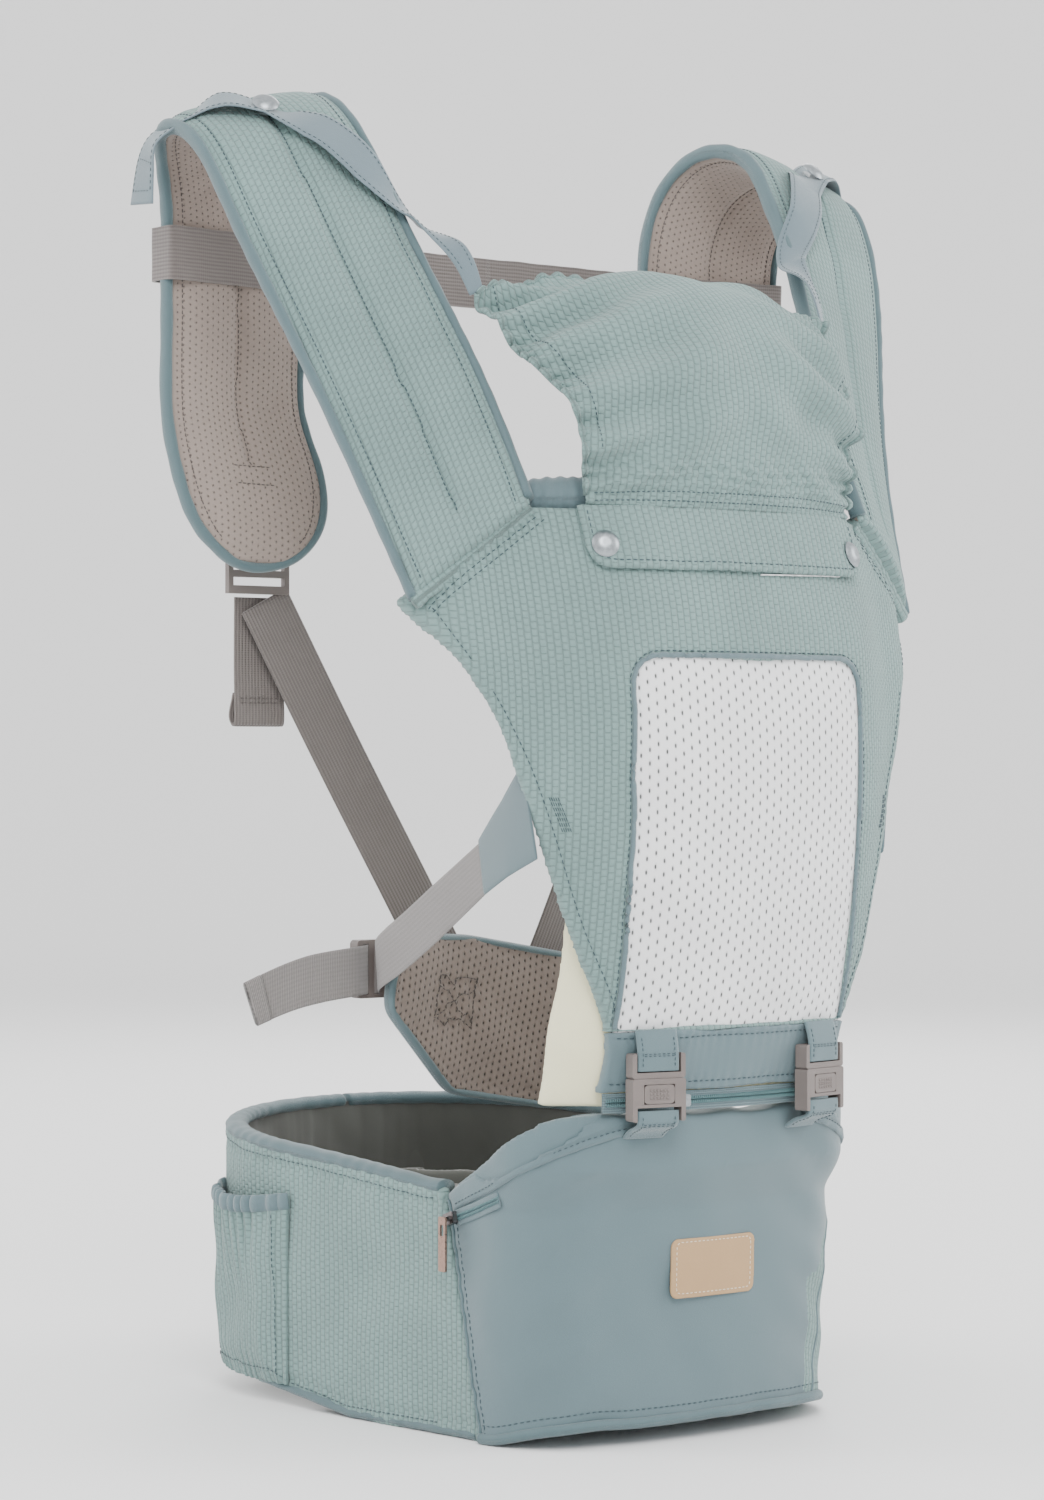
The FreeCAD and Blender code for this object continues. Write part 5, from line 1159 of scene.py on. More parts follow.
for row in (STRAP_COUNT - 14, STRAP_COUNT - 5):
    spread = np.linspace(-0.010, 0.010, 12)[:, None]
    strap_lines.append((strap_middle[row] + strap_side[row] * spread + strap_normal[row] * 0.8 * MM,
                        np.broadcast_to(strap_normal[row], (12, 3))))
for name, side, turn in SIDES:
    made = strap("hood_strap_" + name, strap_middle * turn, strap_side * strap_half[:, None] * turn,
                 strap_normal * turn, 1.5 * MM, "strap_twill", "hood")
    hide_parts("hood_straps")
    stitches("hood_strap_stitching_" + name, [(line * turn, normals * turn) for line, normals in strap_lines],
             "hood",
             length=2.2 * MM, gap=1.6 * MM, radius=0.3 * MM)

# ------------------------------------------------------------------ belt

BELT_Y = 0.085
BELT_A = 0.160
BELT_B = 0.150
WING_Y = 0.065
BELT_TOP = [(-0.070, 0.153), (0.085, 0.168), (0.237, 0.177)]
BELT_LOW = [(0.0, 0.0), (0.085, 0.013), (0.237, 0.028)]
SEAM_TOP_Y = -0.086
SEAM_LOW_Y = -0.122
SEAT_REAR_TOP = 0.148
FRONT_END_X = 0.120
FRONT_END_Y = -0.152
ROUND_RADIUS = 0.156
UP = (0, 0, 1)
top_fit = np.polyfit([p[0] for p in BELT_TOP], [p[1] for p in BELT_TOP], 2)
low_fit = np.polyfit([p[0] for p in BELT_LOW], [p[1] for p in BELT_LOW], 2)
back_turns = np.linspace(math.radians(89.2), -0.2, 130)


def belt_top(y):
    return np.where(y < BELT_TOP[0][0], BELT_TOP[0][1], np.polyval(top_fit, y))


def belt_low(y):
    return np.where(y < 0, 0.0, np.polyval(low_fit, np.maximum(y, 0)))


def belt_run(inset, front):
    """Plan points of the right half of the belt, as far forward as front."""
    a = BELT_A - inset
    b = BELT_B - inset
    points = [(a * math.cos(t), BELT_Y + b * math.sin(t)) for t in back_turns if BELT_Y
              + b * math.sin(t) > WING_Y]
    side_x = a * math.sqrt(1 - ((WING_Y - BELT_Y) / b) ** 2)
    for y in np.linspace(WING_Y, FRONT_END_Y, 60):
        points.append((side_x + (FRONT_END_X - inset - side_x) * (WING_Y - y) / (WING_Y - FRONT_END_Y), y))
    points = np.array(points)
    return points[points[:, 1] > front]


def belt_weave(points):
    """Length round the belt from the middle of its back, and height."""
    angle = np.arctan2(points[:, 0], np.maximum(points[:, 1], WING_Y) - BELT_Y)
    forward = np.maximum(WING_Y - points[:, 1], 0)
    return np.stack([ROUND_RADIUS * angle + np.sign(points[:, 0]) * forward * 1.015, points[:, 2]], axis=1)


def seam_y(z):
    return SEAM_LOW_Y + (SEAM_TOP_Y - SEAM_LOW_Y) * np.asarray(z) / SEAT_REAR_TOP


def wing_relief(points, _normals):
    offset = 1.0 * MM * waves(points, 0.085, 91) + 0.45 * MM * waves(points, 0.035, 92)
    run = belt_run(0.0, -0.14)
    for z in (belt_low(run[:, 1]) + 0.010, belt_top(run[:, 1]) - 0.010):
        for sign in (-1, 1):
            line = np.column_stack([run * np.array([sign, 1.0]), z])
            offset += groove(points, line, 0.9 * MM, 2.6 * MM, 0.55 * MM, 13 * MM, 4)
    return offset


SEAM_FRONT = SEAM_TOP_Y + 0.5 * MM
steps = np.linspace(0, 1, 260)
lump = 1 + 0.035 * np.sin(steps * 150 + 3 * np.sin(steps * 23))
top_run = belt_run(7.0 * MM, SEAM_FRONT)
top_path = np.column_stack([top_run, belt_top(top_run[:, 1]) + 0.5 * MM])
low_run = belt_run(4.0 * MM, SEAM_LOW_Y)
low_path = np.column_stack([low_run, belt_low(low_run[:, 1]) + 2.7 * MM])
run = belt_run(0.0, SEAM_FRONT)
belt_seams = [np.column_stack([run, z]) for z in (belt_top(run[:, 1]) - 6.2 * MM,
                                                  belt_low(run[:, 1]) + 7.2 * MM)]
for name, side, turn in SIDES:
    wing = softened("belt_wing_knit_" + name, "belt_wing_" + name, "knit", belt_weave, 2.2 * MM, 3,
                    wing_relief)
    tube("belt_top_binding_" + name, spline((top_path * turn)[::3], 260), 7.6 * MM * lump, 4.6 * MM * lump,
         "rim",
         normals=UP, sides=20)
    tube("belt_low_binding_" + name, spline((low_path * turn)[::3], 260), 5.2 * MM * lump, 3.2 * MM * lump,
         "rim",
         normals=UP, sides=16)
    sew("belt_stitching_" + name, tree_of(wing), [line * turn for line in belt_seams], length=2.8 * MM,
        gap=1.4 * MM)
lining_relief = wavy((1.1 * MM, 0.06, 95), (0.5 * MM, 0.025, 96))
softened("belt_lining_cloth", "belt_lining", "olive", belt_weave, 2.4 * MM, 3, lining_relief)
softened("belt_front_lining", "belt_front_panel", "olive", belt_weave, 2.4 * MM, 3, lining_relief)
softened("hook_and_loop_pile", "hook_and_loop", "pile", belt_weave, 1.2 * MM, 1)

# stretch pouch on the left wing
POUCH_LOW = 0.014
POUCH_TOP = 0.137
POUCH_SAG = 5.0 * MM
POUCH_WIDTH = 0.109
POUCH_CUT = 0.125
POUCH_START = math.radians(192.6)
POUCH_TURN = math.radians(-39.2)
POUCH_WALL = 1.3 * MM
HEM_ROW = 106


def pouch_at(share_along, z, lift):
    """A point of the wing's outer face under the pouch, lifted off it."""
    angle = POUCH_START + POUCH_TURN * share_along
    y = BELT_Y + (BELT_B + lift) * np.sin(angle)
    straight = 0.1588 - (WING_Y - y) * 0.178 + lift
    x = np.where(y < WING_Y, -straight, (BELT_A + lift) * np.cos(angle))
    return np.stack([x, y, z], axis=-1)


pouch_s, pouch_t = np.meshgrid(np.linspace(0, 1, 120), np.linspace(0, 1, 110))
pouch_z = POUCH_LOW + (POUCH_TOP - POUCH_LOW - POUCH_SAG * np.sin(math.pi * pouch_s)) * pouch_t
pouch_rim = np.minimum(np.minimum(pouch_s, 1 - pouch_s) * POUCH_WIDTH, (pouch_z - POUCH_LOW) * 1.2)
pouch_open = np.clip(pouch_rim / 0.022, 0, 1) ** 0.7
gather = np.sin(2 * math.pi * pouch_s * 11 + 1.9 * np.sin(pouch_s * 17)
                + 1.2 * np.sin(pouch_t * 5 + pouch_s * 6))
pouch_lift = 1.4 * MM + 9.5 * MM * pouch_open * (0.55 + 0.45 * pouch_t)
pouch_lift += 1.9 * MM * gather * np.exp(-(1 - pouch_t) / 0.28) * pouch_open
pouch_lift += 1.0 * MM * gather * np.exp(-pouch_t / 0.10)
pouch_lift += 1.3 * MM * waves(pouch_at(pouch_s, pouch_z, 0.0), 0.05, 101) * pouch_open
pouch = shell("belt_pouch_knit", pouch_at(pouch_s, pouch_z, pouch_lift),
              pouch_at(pouch_s, pouch_z, pouch_lift - POUCH_WALL), "knit",
              coordinates=(pouch_s * POUCH_CUT, pouch_z))
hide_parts("belt_pocket")
hem_path = pouch_at(pouch_s[HEM_ROW], pouch_z[HEM_ROW], pouch_lift[HEM_ROW] - 0.6 * MM)
tube("belt_pouch_hem", hem_path, 2.0 * MM + 0.25 * MM * gather[HEM_ROW], 5.6 * MM, "twill", normals=UP,
     sides=16)
sew("belt_pouch_stitching", tree_of(pouch),
    [pouch_at(pouch_s[at], pouch_z[at], 0.02) for at in ((slice(4, 100), 5), (slice(4, 100), 114), 5)],
    length=2.6 * MM, gap=1.4 * MM)

# ------------------------------------------------------------------ seat

SEAT_WALL_X = 0.131


def seat_weave(points):
    return np.stack([points[:, 0] + 0.6 * points[:, 1], points[:, 2] - 0.6 * points[:, 1]], axis=1)


# seam of the knit insert, low on the right
insert_line = spline([(0.1290, -0.112, 0.160), (0.1230, -0.160, 0.130), (0.1120, -0.184, 0.085),
                      (0.1040, -0.190, 0.040), (0.0990, -0.190, 0.004)], 90)
side_z = np.linspace(0.002, 0.146, 60)


def side_seam(side, back):
    """The seam between seat and belt wing, or a line that far behind it."""
    return np.column_stack([np.full(60, side * SEAT_WALL_X), seam_y(side_z) - back, side_z])


def seat_relief(points, normals):
    x, y, z = points.T
    up = np.clip(normals[:, 2], 0, 1)
    front = np.clip(-normals[:, 1], 0, 1)
    offset = 1.4 * MM * waves(points, 0.11, 111) + 0.5 * MM * waves(points, 0.045, 112)
    offset += groove(points, insert_line, 1.0 * MM, 2.0 * MM, 0.4 * MM, 12 * MM, 8)
    for sign in (-1, 1):
        offset += groove(points, side_seam(sign, 0.004), 0.6 * MM, 2.6 * MM, 0.5 * MM, 15 * MM, 9)
    corner = np.exp(-(np.hypot(np.abs(x) - 0.105, y + 0.185) / 0.035) ** 2)
    diagonal = np.sin(2 * math.pi * (z * 0.9 + np.abs(x) * 0.6) / 0.034)
    offset += 1.1 * MM * diagonal * corner * front
    offset += 1.2 * MM * np.sin(2 * math.pi * x / 0.05 + 1) * up * np.exp(-((y + 0.19) / 0.02) ** 2)
    return offset


seat = softened("seat_cover_twill", "seat_cover", "twill", seat_weave, 2.5 * MM, 4, seat_relief)
samples = dense(insert_line)[0][::-1]
middles = np.array([face.center for face in seat.data.polygons])
insert_edge = np.interp(middles[:, 2], samples[:, 2], samples[:, 1])
paint_faces(seat, "knit", (middles[:, 0] > 0.085) & (middles[:, 1] > insert_edge) & (middles[:, 2] < 0.160))
seat_tree = tree_of(seat)

# lapels over the pocket's mouth, given at -X, which is the wearer's right
FLAP_LOW_EDGE = [(-0.1330, -0.0930, 0.1395), (-0.1330, -0.1200, 0.1495), (-0.1318, -0.1420, 0.1580),
                 (-0.1270, -0.1640, 0.1690), (-0.1150, -0.1850, 0.1790), (-0.0960, -0.1990, 0.1875),
                 (-0.0700, -0.2080, 0.1940)]
FLAP_TOP_EDGE = [(-0.1290, -0.0890, 0.1520), (-0.1270, -0.1150, 0.1640), (-0.1220, -0.1390, 0.1770),
                 (-0.1130, -0.1600, 0.1900), (-0.1000, -0.1780, 0.2010), (-0.0850, -0.1900, 0.2080),
                 (-0.0640, -0.2000, 0.2110)]
LAPEL_WALL = 1.3 * MM
LAPEL_COUNT = 70
lapel_low, lapel_top = spline(FLAP_LOW_EDGE, LAPEL_COUNT), spline(FLAP_TOP_EDGE, LAPEL_COUNT)
along = np.arange(LAPEL_COUNT)
lapel_ends = 0.4 + 0.6 * np.minimum(np.minimum(along, LAPEL_COUNT - 1 - along), 6) / 6
for name, _, turn in SIDES[::-1]:
    rows = []
    for step in np.linspace(0, 1, 9):
        soft = math.sqrt(max(1 - (1 - min(step / 0.12, 1.0)) ** 2, 0.0))
        lift = (0.5 + 1.7 * (1 - step) * (0.35 + 0.65 * soft)) * MM
        lift = lift + 0.35 * MM * np.sin(along * 0.55 + 2 * np.sin(along * 0.11)) * (1 - step)
        found = [nearest(seat_tree, place) for place in (lapel_low * (1 - step) + lapel_top * step) * turn]
        spots, normals = [np.array([pair[k] for pair in found]) for k in range(2)]
        lift = (lift * lapel_ends)[:, None]
        rows.append((spots + normals * lift, spots + normals * (lift - LAPEL_WALL)))
    lapel = shell("seat_flap_" + name, np.array([row[0] for row in rows]), np.array([row[1] for row in rows]),
                  "twill")
    hem = (lapel_low * 0.76 + lapel_top * 0.24)[2:-2] * turn
    sew("seat_flap_stitching_" + name, tree_of(lapel), [hem], length=2.4 * MM, gap=1.5 * MM)
insert_points, insert_normals = snapped(seat_tree, insert_line)
tube("seat_insert_piping", insert_points, 1.0 * MM, 0.8 * MM, "twill", normals=insert_normals, sides=10)
for name, side, turn in SIDES:
    seam_points, seam_normals = snapped(seat_tree, side_seam(side, 0.0015), 0.2 * MM)
    tube("seat_side_piping_" + name, seam_points, 1.5 * MM, 1.3 * MM, "rim", normals=seam_normals, sides=12)
    sew("seat_stitching_" + name, seat_tree, [side_seam(side, 0.0015) + np.array([0.0, -0.0065, 0.0])],
        length=2.6 * MM, gap=1.5 * MM)

# binding round the seat's foot, where each direction from the seat's middle meets its lowest rim
FOOT_CENTRE_Y = 0.085
places = corners_of(seat.data)
angles = np.arctan2(places[:, 0], -(places[:, 1] + FOOT_CENTRE_Y))
reach = np.hypot(places[:, 0], places[:, 1] + FOOT_CENTRE_Y)
foot = []
for angle in np.linspace(-1.28, 1.28, 120):
    low_part = (np.abs(angles - angle) < 0.035) & (places[:, 2] < 0.06)
    rim_part = low_part & (reach > reach[low_part].max() - 0.014)
    z = places[rim_part, 2].min()
    radius = reach[rim_part & (places[:, 2] < z + 0.006)].max()
    foot.append((radius * math.sin(angle), -FOOT_CENTRE_Y - radius * math.cos(angle), z + 0.0036))
foot = np.array(foot)
for _ in range(6):
    foot[1:-1] = (foot[:-2] + foot[1:-1] * 2 + foot[2:]) / 4
foot = spline(foot[::4], 300)
tube("seat_foot_binding", foot, 3.0 * MM, 3.4 * MM, "rim", normals=UP, sides=16)
sew("seat_foot_stitching", seat_tree, [foot + np.array([0, 0, 0.008])])
softened("seat_top_cloth", "seat_top_pad", "olive", seat_weave, 2.0 * MM, 3, wavy((1.0 * MM, 0.05, 121)))

# leather patch
PATCH_HALF = 0.033
PATCH_LOW = 0.088
PATCH_TOP = 0.125
PATCH_Y = -0.206
PATCH_INSET = 2.6 * MM
PATCH_CORNER = 3.0 * MM


def patch_weave(points):
    return np.stack([points[:, 0], points[:, 2]], axis=1)


patch = softened("seat_patch_leather", "leather_patch", "leather", patch_weave, 0.7 * MM, 2)
corners = []
for number, (cx, cz) in enumerate(((1, 1), (-1, 1), (-1, -1), (1, -1))):
    turn = np.linspace(0, math.pi / 2, 8) + number * math.pi / 2
    x0 = cx * (PATCH_HALF - PATCH_INSET - PATCH_CORNER)
    z0 = (PATCH_LOW + PATCH_TOP) / 2 + cz * ((PATCH_TOP - PATCH_LOW) / 2 - PATCH_INSET - PATCH_CORNER)
    corners.append(np.column_stack([x0 + PATCH_CORNER * np.cos(turn), np.full(8, PATCH_Y),
                                    z0 + PATCH_CORNER * np.sin(turn)]))
patch_line = np.concatenate(corners + [corners[0][:1]])
sew("seat_patch_stitching", tree_of(patch), [patch_line], step=1.0 * MM, material="pale_thread",
    slot="patch_leather", length=1.9 * MM, gap=1.3 * MM, radius=0.32 * MM)

# ------------------------------------------------------------------ lumbar pad

LUMBAR_ROLL = math.radians(10)
LUMBAR_MIDDLE = np.array([0.0, 0.025, 0.252])
LUMBAR_ALONG = np.array([math.cos(LUMBAR_ROLL), 0.0, -math.sin(LUMBAR_ROLL)])
LUMBAR_UP = np.array([math.sin(LUMBAR_ROLL), 0.0, math.cos(LUMBAR_ROLL)])
LUMBAR_OUTLINE = [(-88, 38), (-45, 43), (45, 43), (88, 38), (112, 11), (110, -12), (42, -58),
                  (-42, -58), (-110, -12), (-112, 11)]
CROSS_HIGH = 0.014
CROSS_NEAR = 0.034
CROSS_FAR = 0.066
FLAT = np.array([1, 0, 1])


def lumbar_at(line, y=0.0):
    """Places on the lumbar pad, given along and up it."""
    point = LUMBAR_MIDDLE + line[:, :1] * LUMBAR_ALONG + line[:, 1:] * LUMBAR_UP
    point[:, 1] += y - 0.020 * (line[:, 0] / 0.110) ** 2
    return point


def lumbar_weave(points):
    away = points - LUMBAR_MIDDLE
    return np.stack([away @ LUMBAR_ALONG, away @ LUMBAR_UP], axis=1)


outline = np.array(LUMBAR_OUTLINE + LUMBAR_OUTLINE[:1], float) * MM
CROSS = [(CROSS_NEAR, -1), (CROSS_FAR, -1), (CROSS_FAR, 1), (CROSS_NEAR, 1), (CROSS_NEAR, -1), (CROSS_FAR, 1),
         (CROSS_NEAR, 1), (CROSS_FAR, -1)]
crosses = [np.array([(x * sign, CROSS_HIGH * v) for x, v in CROSS]) for sign in (-1, 1)]


def lumbar_relief(points, _normals):
    offset = 0.8 * MM * waves(points, 0.04, 131)
    for cross in crosses:
        for y in (-0.007, 0.007):
            offset += groove(points, lumbar_at(cross, y), 1.3 * MM, 2.0 * MM, 0.9 * MM, 10 * MM, 3)
    distance = near(points * FLAT, lumbar_at(outline * np.array([0.93, 0.88])) * FLAT)[0]
    return offset - 1.3 * MM * np.exp(-(distance / 2.4e-3) ** 2)


lumbar = softened("lumbar_pad_mesh", "lumbar_pad", "taupe_mesh", lumbar_weave, 2.6 * MM, 4, lumbar_relief)
flat_points = corners_of(lumbar.data) * FLAT
lumbar_pins = np.clip(1 - near(flat_points, lumbar_at(outline) * FLAT)[0] / 0.008, 0, 1)
for cross in crosses:
    distance = near(flat_points, lumbar_at(cross) * FLAT)[0]
    lumbar_pins = np.maximum(lumbar_pins, np.clip(1.25 - distance / 0.004, 0, 1))
inflate(lumbar, lumbar_pins, 3.0, frames=10, cap=2.6 * MM)
sew("lumbar_stitching", tree_of(lumbar), [lumbar_at(cross, y) for cross in crosses for y in (-0.02, 0.02)],
    material="taupe_thread", slot="taupe_mesh", length=2.4 * MM, gap=1.0 * MM, radius=0.4 * MM)
rim_line = dense(lumbar_at(outline), 2.0 * MM)[0][:-1]
for _ in range(14):
    rim_line = (np.roll(rim_line, 1, axis=0) + 2 * rim_line + np.roll(rim_line, -1, axis=0)) / 4
tube("lumbar_binding", rim_line, 2.6 * MM, 5.6 * MM, "twill", normals=(0, 1, 0),
     closed=True,
     sides=16)

# ------------------------------------------------------------------ webbing


def tape(name, nodes, stations, wall, material, body, count=60):
    """A woven tape through a few (middle, half width, normal) stations in metres."""
    middle, halves, normals = through(stations, count)
    made = strap(name, middle, halves, normals, wall, material, body)
    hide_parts(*nodes)
    return middle, halves, unit(normals)


TAB_WALL = 2.2 * MM
for name, side, _ in SIDES:
    tape("side_tab_" + name, ["side_tabs"],
         [((side * 0.1415, -0.193, 0.3900), (side * 0.004, 0.002, 0.029), (side * 0.85, -0.5, 0)),
          ((side * 0.1405, -0.166, 0.373), (side * 0.001, 0.002, 0.023), (side * 0.97, -0.2, 0)),
          ((side * 0.137, -0.137, 0.355), (0, 0.003, 0.017), (side, -0.1, 0))],
         TAB_WALL, "twill", "carrier", 40)
    z = {"left": 0.284, "right": 0.238}[name]
    drop = 0.3545 - z
    half = 0.016
    run = [((side * 0.1368, -0.1400, 0.3555), (0, 0.0025, half), (side, 0, 0)),
           ((side * 0.132, -0.080, 0.3545 - 0.42 * drop), (0, 0.005, half), (side, -0.1, 0)),
           ((side * 0.124, -0.020, 0.3545 - 0.80 * drop), (0, 0.005, half), (side, -0.2, 0)),
           ((side * 0.1165, 0.009, 0.3545 - 0.95 * drop), (0, 0.002, half), (side, -0.3, 0)),
           ((side * 0.1045, 0.0245, z), (0, 0, half), (side, -0.35, 0))]
    tail = [((side * 0.1135, 0.0244, z), (0, 0, half), (side * 0.5, -1, 0)),
            ((side * 0.1255, 0.021, z - 0.001), (0, 0, half), (0, -1, 0)),
            ((side * 0.1555, 0.029, z - 0.006), (side * 0.0015, 0, half), (-side * 0.3, -1, 0)),
            ((side * 0.1895, 0.046, z - 0.021), (side * 0.005, 0, half - 0.002), (-side * 0.45, -1, 0))]
    tape("side_webbing_run_" + name, ["side_webbing_" + name], run, 1.7 * MM, "light_webbing", "carrier",
         90)
    middle, halves, normals = tape("side_webbing_tail_" + name, ["side_webbing_" + name], tail, 1.7 * MM,
                                   "light_webbing", "carrier",
                                   60)
    strap("side_webbing_hem_" + name, middle[-8:], halves[-8:] * 1.01, normals[-8:], 3.4 * MM,
          "light_webbing",
          "carrier")
    low = np.array([side * 0.018, 0.0365, 0.236])
    high = np.array([side * 0.171, 0.060, 0.524])
    along = high - low
    across_run = np.cross(along, [0, 1, 0])
    across_run /= np.linalg.norm(across_run)
    back = [(low + along * share_up + np.array([0, out, 0]), across_run * 0.019, (0, 1, 0))
            for share_up, out in ((0.0, 0.0), (0.22, -0.002), (0.6, 0.0006), (1.0, 0.0))]
    tape("back_webbing_" + name, ["back_webbing"], back, 1.7 * MM, "webbing", "carrier",
         120)
    x = side * 0.171
    hang = [((x, 0.066, 0.526), (0.019, 0, 0), (0, 1, 0)), ((x, 0.0664, 0.490), (0.019, 0, 0), (0, 1, 0)),
            ((x, 0.0656, 0.455), (0.019, 0, 0), (0, 1, 0)),
            ((x, 0.0680, 0.4425), (0.019, 0, 0), (0, 0.6, -0.5)),
            ((x, 0.0715, 0.4455), (0.019, 0, 0), (0, -0.9, -0.4)),
            ((x, 0.0692, 0.4600), (0.019, 0, 0), (0, -1, 0)),
            ((x, 0.0678, 0.4640), (0.019, 0, 0), (0, -1, 0))]
    middle, halves, normals = tape("hanging_tail_cloth_" + name, ["hanging_tail_" + name], hang, 1.6 * MM,
                                   "webbing",
                                   name + "_tail", 110)
    row = np.linspace(-0.016, 0.016, 16)
    lines = [(np.column_stack([x + row, np.full(16, 0.0647), np.full(16, zz)]), (0, -1, 0))
             for zz in (0.4575, 0.4605)]
    stitches("hanging_tail_stitching_" + name, lines, name + "_tail", material="taupe_thread",
             slot="taupe_webbing",
             length=2.2 * MM, gap=1.0 * MM, radius=0.35 * MM)


WOVEN_CUT = 6.0 * MM
slight = wavy((0.18 * MM, 0.02, 141))


def woven_copy(name, node, weave, material, body):
    """A tape that keeps its CAD shape, finely divided and slightly uneven."""
    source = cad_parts[node]
    grid = bmesh.new()
    grid.from_mesh(source.data)
    bmesh.ops.remove_doubles(grid, verts=grid.verts, dist=0.02 * MM)
    for _ in range(6):
        long_edges = [edge for edge in grid.edges if edge.calc_length() > WOVEN_CUT]
        if not long_edges:
            break
        bmesh.ops.subdivide_edges(grid, edges=long_edges, cuts=1, use_grid_fill=False)
    bmesh.ops.triangulate(grid, faces=grid.faces)
    points = np.array([v.co for v in grid.verts], float)
    normals = np.array([v.normal for v in grid.verts], float)
    grid.verts.index_update()
    faces = [tuple(v.index for v in face.verts) for face in grid.faces]
    grid.free()
    coordinates = weave(points)
    points = points + normals * slight(points, normals)[:, None]
    made = piece(name, points, faces, coordinates, material, body)
    made.data.set_sharp_from_angle(angle=math.radians(42))
    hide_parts(node)


def chest_weave(points):
    return np.stack([points[:, 2], points[:, 0] + 0.8 * points[:, 1] * np.sign(points[:, 0])], axis=1)


woven_copy("chest_strap_webbing", "chest_strap", chest_weave, "webbing", "chest_belt")


def waist_weave(points):
    return np.stack([points[:, 2], belt_weave(points)[:, 0]], axis=1)


woven_copy("waist_webbing_tape", "waist_webbing", waist_weave, "light_webbing", "carrier")

# tabs on the push buckles, folded through their bars
PUSH_X = 0.065
PUSH_Z = 0.228
PUSH_STAND = 0.0108
push_angle = math.asin(PUSH_X / FRONT_RADIUS)
push_y = float(panel_at(np.array([PUSH_X]), np.array([0.225]))[0, 1]) - PUSH_STAND
PANEL_TAB = [(-2.9, 4.4), (-2.9, 16.0), (0.4, 29.0)]
SEAT_TAB = [(-2.9, -19.5), (-2.7, -27.0), (8.0, -32.0), (16.4, -37.0)]


def push_point(side, across_by, forward, up):
    turn = side * push_angle
    return np.array([side * PUSH_X + across_by * math.cos(turn) - forward * math.sin(turn),
                     push_y + across_by * math.sin(turn) + forward * math.cos(turn), PUSH_Z + up])


for name, side, _ in SIDES:
    for label, points, node in (("panel", PANEL_TAB, "panel_buckle_tabs"),
                                ("seat", SEAT_TAB, "seat_buckle_tabs")):
        stations = []
        home = push_point(side, 0, 0, 0)
        last = len(points) - 1
        for i, (forward, up) in enumerate(points):
            before = points[max(i - 1, 0)]
            after = points[min(i + 1, last)]
            step = push_point(side, 0, (after[0] - before[0]) * MM, (after[1] - before[1]) * MM) - home
            half = push_point(side, 0.014, 0, 0) - home
            stations.append((push_point(side, 0, forward * MM, up * MM), half, np.cross(half, step) * 1e4))
        middle, halves, normals = tape("%s_buckle_tab_%s" % (label, name), [node], stations, 2.6 * MM,
                                       "twill",
                                       "carrier", 40)
        normal_sign = np.sign(np.sum(normals * (push_point(side, 0, -1, 0) - home), axis=1, keepdims=True))
        lines = []
        for share_out in (-0.78, 0.78):
            line = middle + halves * share_out + normals * normal_sign * 1.35 * MM
            lines.append((line[3:-3], (normals * normal_sign)[3:-3]))
        for row in ((14, 16) if label == "panel" else (10, 12)):
            spread = np.linspace(-0.78, 0.78, 14)[:, None]
            lines.append((middle[row] + halves[row] * spread + normals[row] * normal_sign[row] * 1.35 * MM,
                          np.broadcast_to(normals[row] * normal_sign[row], (14, 3))))
        stitches("%s_buckle_tab_stitching_%s" % (label, name), lines, "carrier", length=2.0 * MM,
                 gap=1.1 * MM,
                 radius=0.3 * MM)

# patches of webbing and bar tacks
for name, side, turn in SIDES:
    tack_lines = []
    for k in range(5):
        z = np.linspace(0.376, 0.400, 14)
        x = np.interp(z, [p[1] for p in PANEL_EDGE], [p[0] for p in PANEL_EDGE]) - 0.010 - k * 0.0011
        tack_lines.append(panel_at(x, z) * turn)
    sew("side_tab_bartack_" + name, panel_tree, tack_lines, step=1.2 * MM, slot="teal_knit", length=2.6 * MM,
        gap=0.7 * MM, radius=0.32 * MM)
    patch_rows = []
    for at in np.linspace(0.336, 0.368, 8):
        row = int(np.argmin(np.abs(pad_length - at)))
        place = pad_outer[row] + pad_across[row] * 0.50 + pad_normal[row] * 0.01
        spot, normal = nearest(PAD_TREES[name], place * turn)
        half = pad_across[row] * turn
        half = half / np.linalg.norm(half) * 0.013
        patch_rows.append((spot + normal * 0.9 * MM, half, normal))
    middle, halves, normals = through(patch_rows, 24)
    strap("strap_patch_" + name, middle, halves, normals, 1.5 * MM, "webbing", "carrier")

# ------------------------------------------------------------------ zips

JOIN_CENTRE_Y = 0.151
JOIN_TURN = math.radians(14.6)


def join_arc(radius, z, start=-JOIN_TURN, end=JOIN_TURN, count=160):
    turn = np.linspace(start, end, count)
    return np.column_stack([radius * np.sin(turn), JOIN_CENTRE_Y - radius * np.cos(turn), np.full(count, z)])


def spring(name, path, radius, pitch, wire, normals):
    """A zip coil: a fine wire wound round a path."""
    samples, run = dense(path, pitch / 9)
    side_way, up = frames_along(samples, normals)
    angle = 2 * math.pi * run / pitch
    coil = samples + side_way * (np.cos(angle) * radius)[:, None] + up * (np.sin(angle) * radius * 0.8)[:,
                                                                                                        None]
    tube(name, coil, wire, wire, "coil", sides=6)


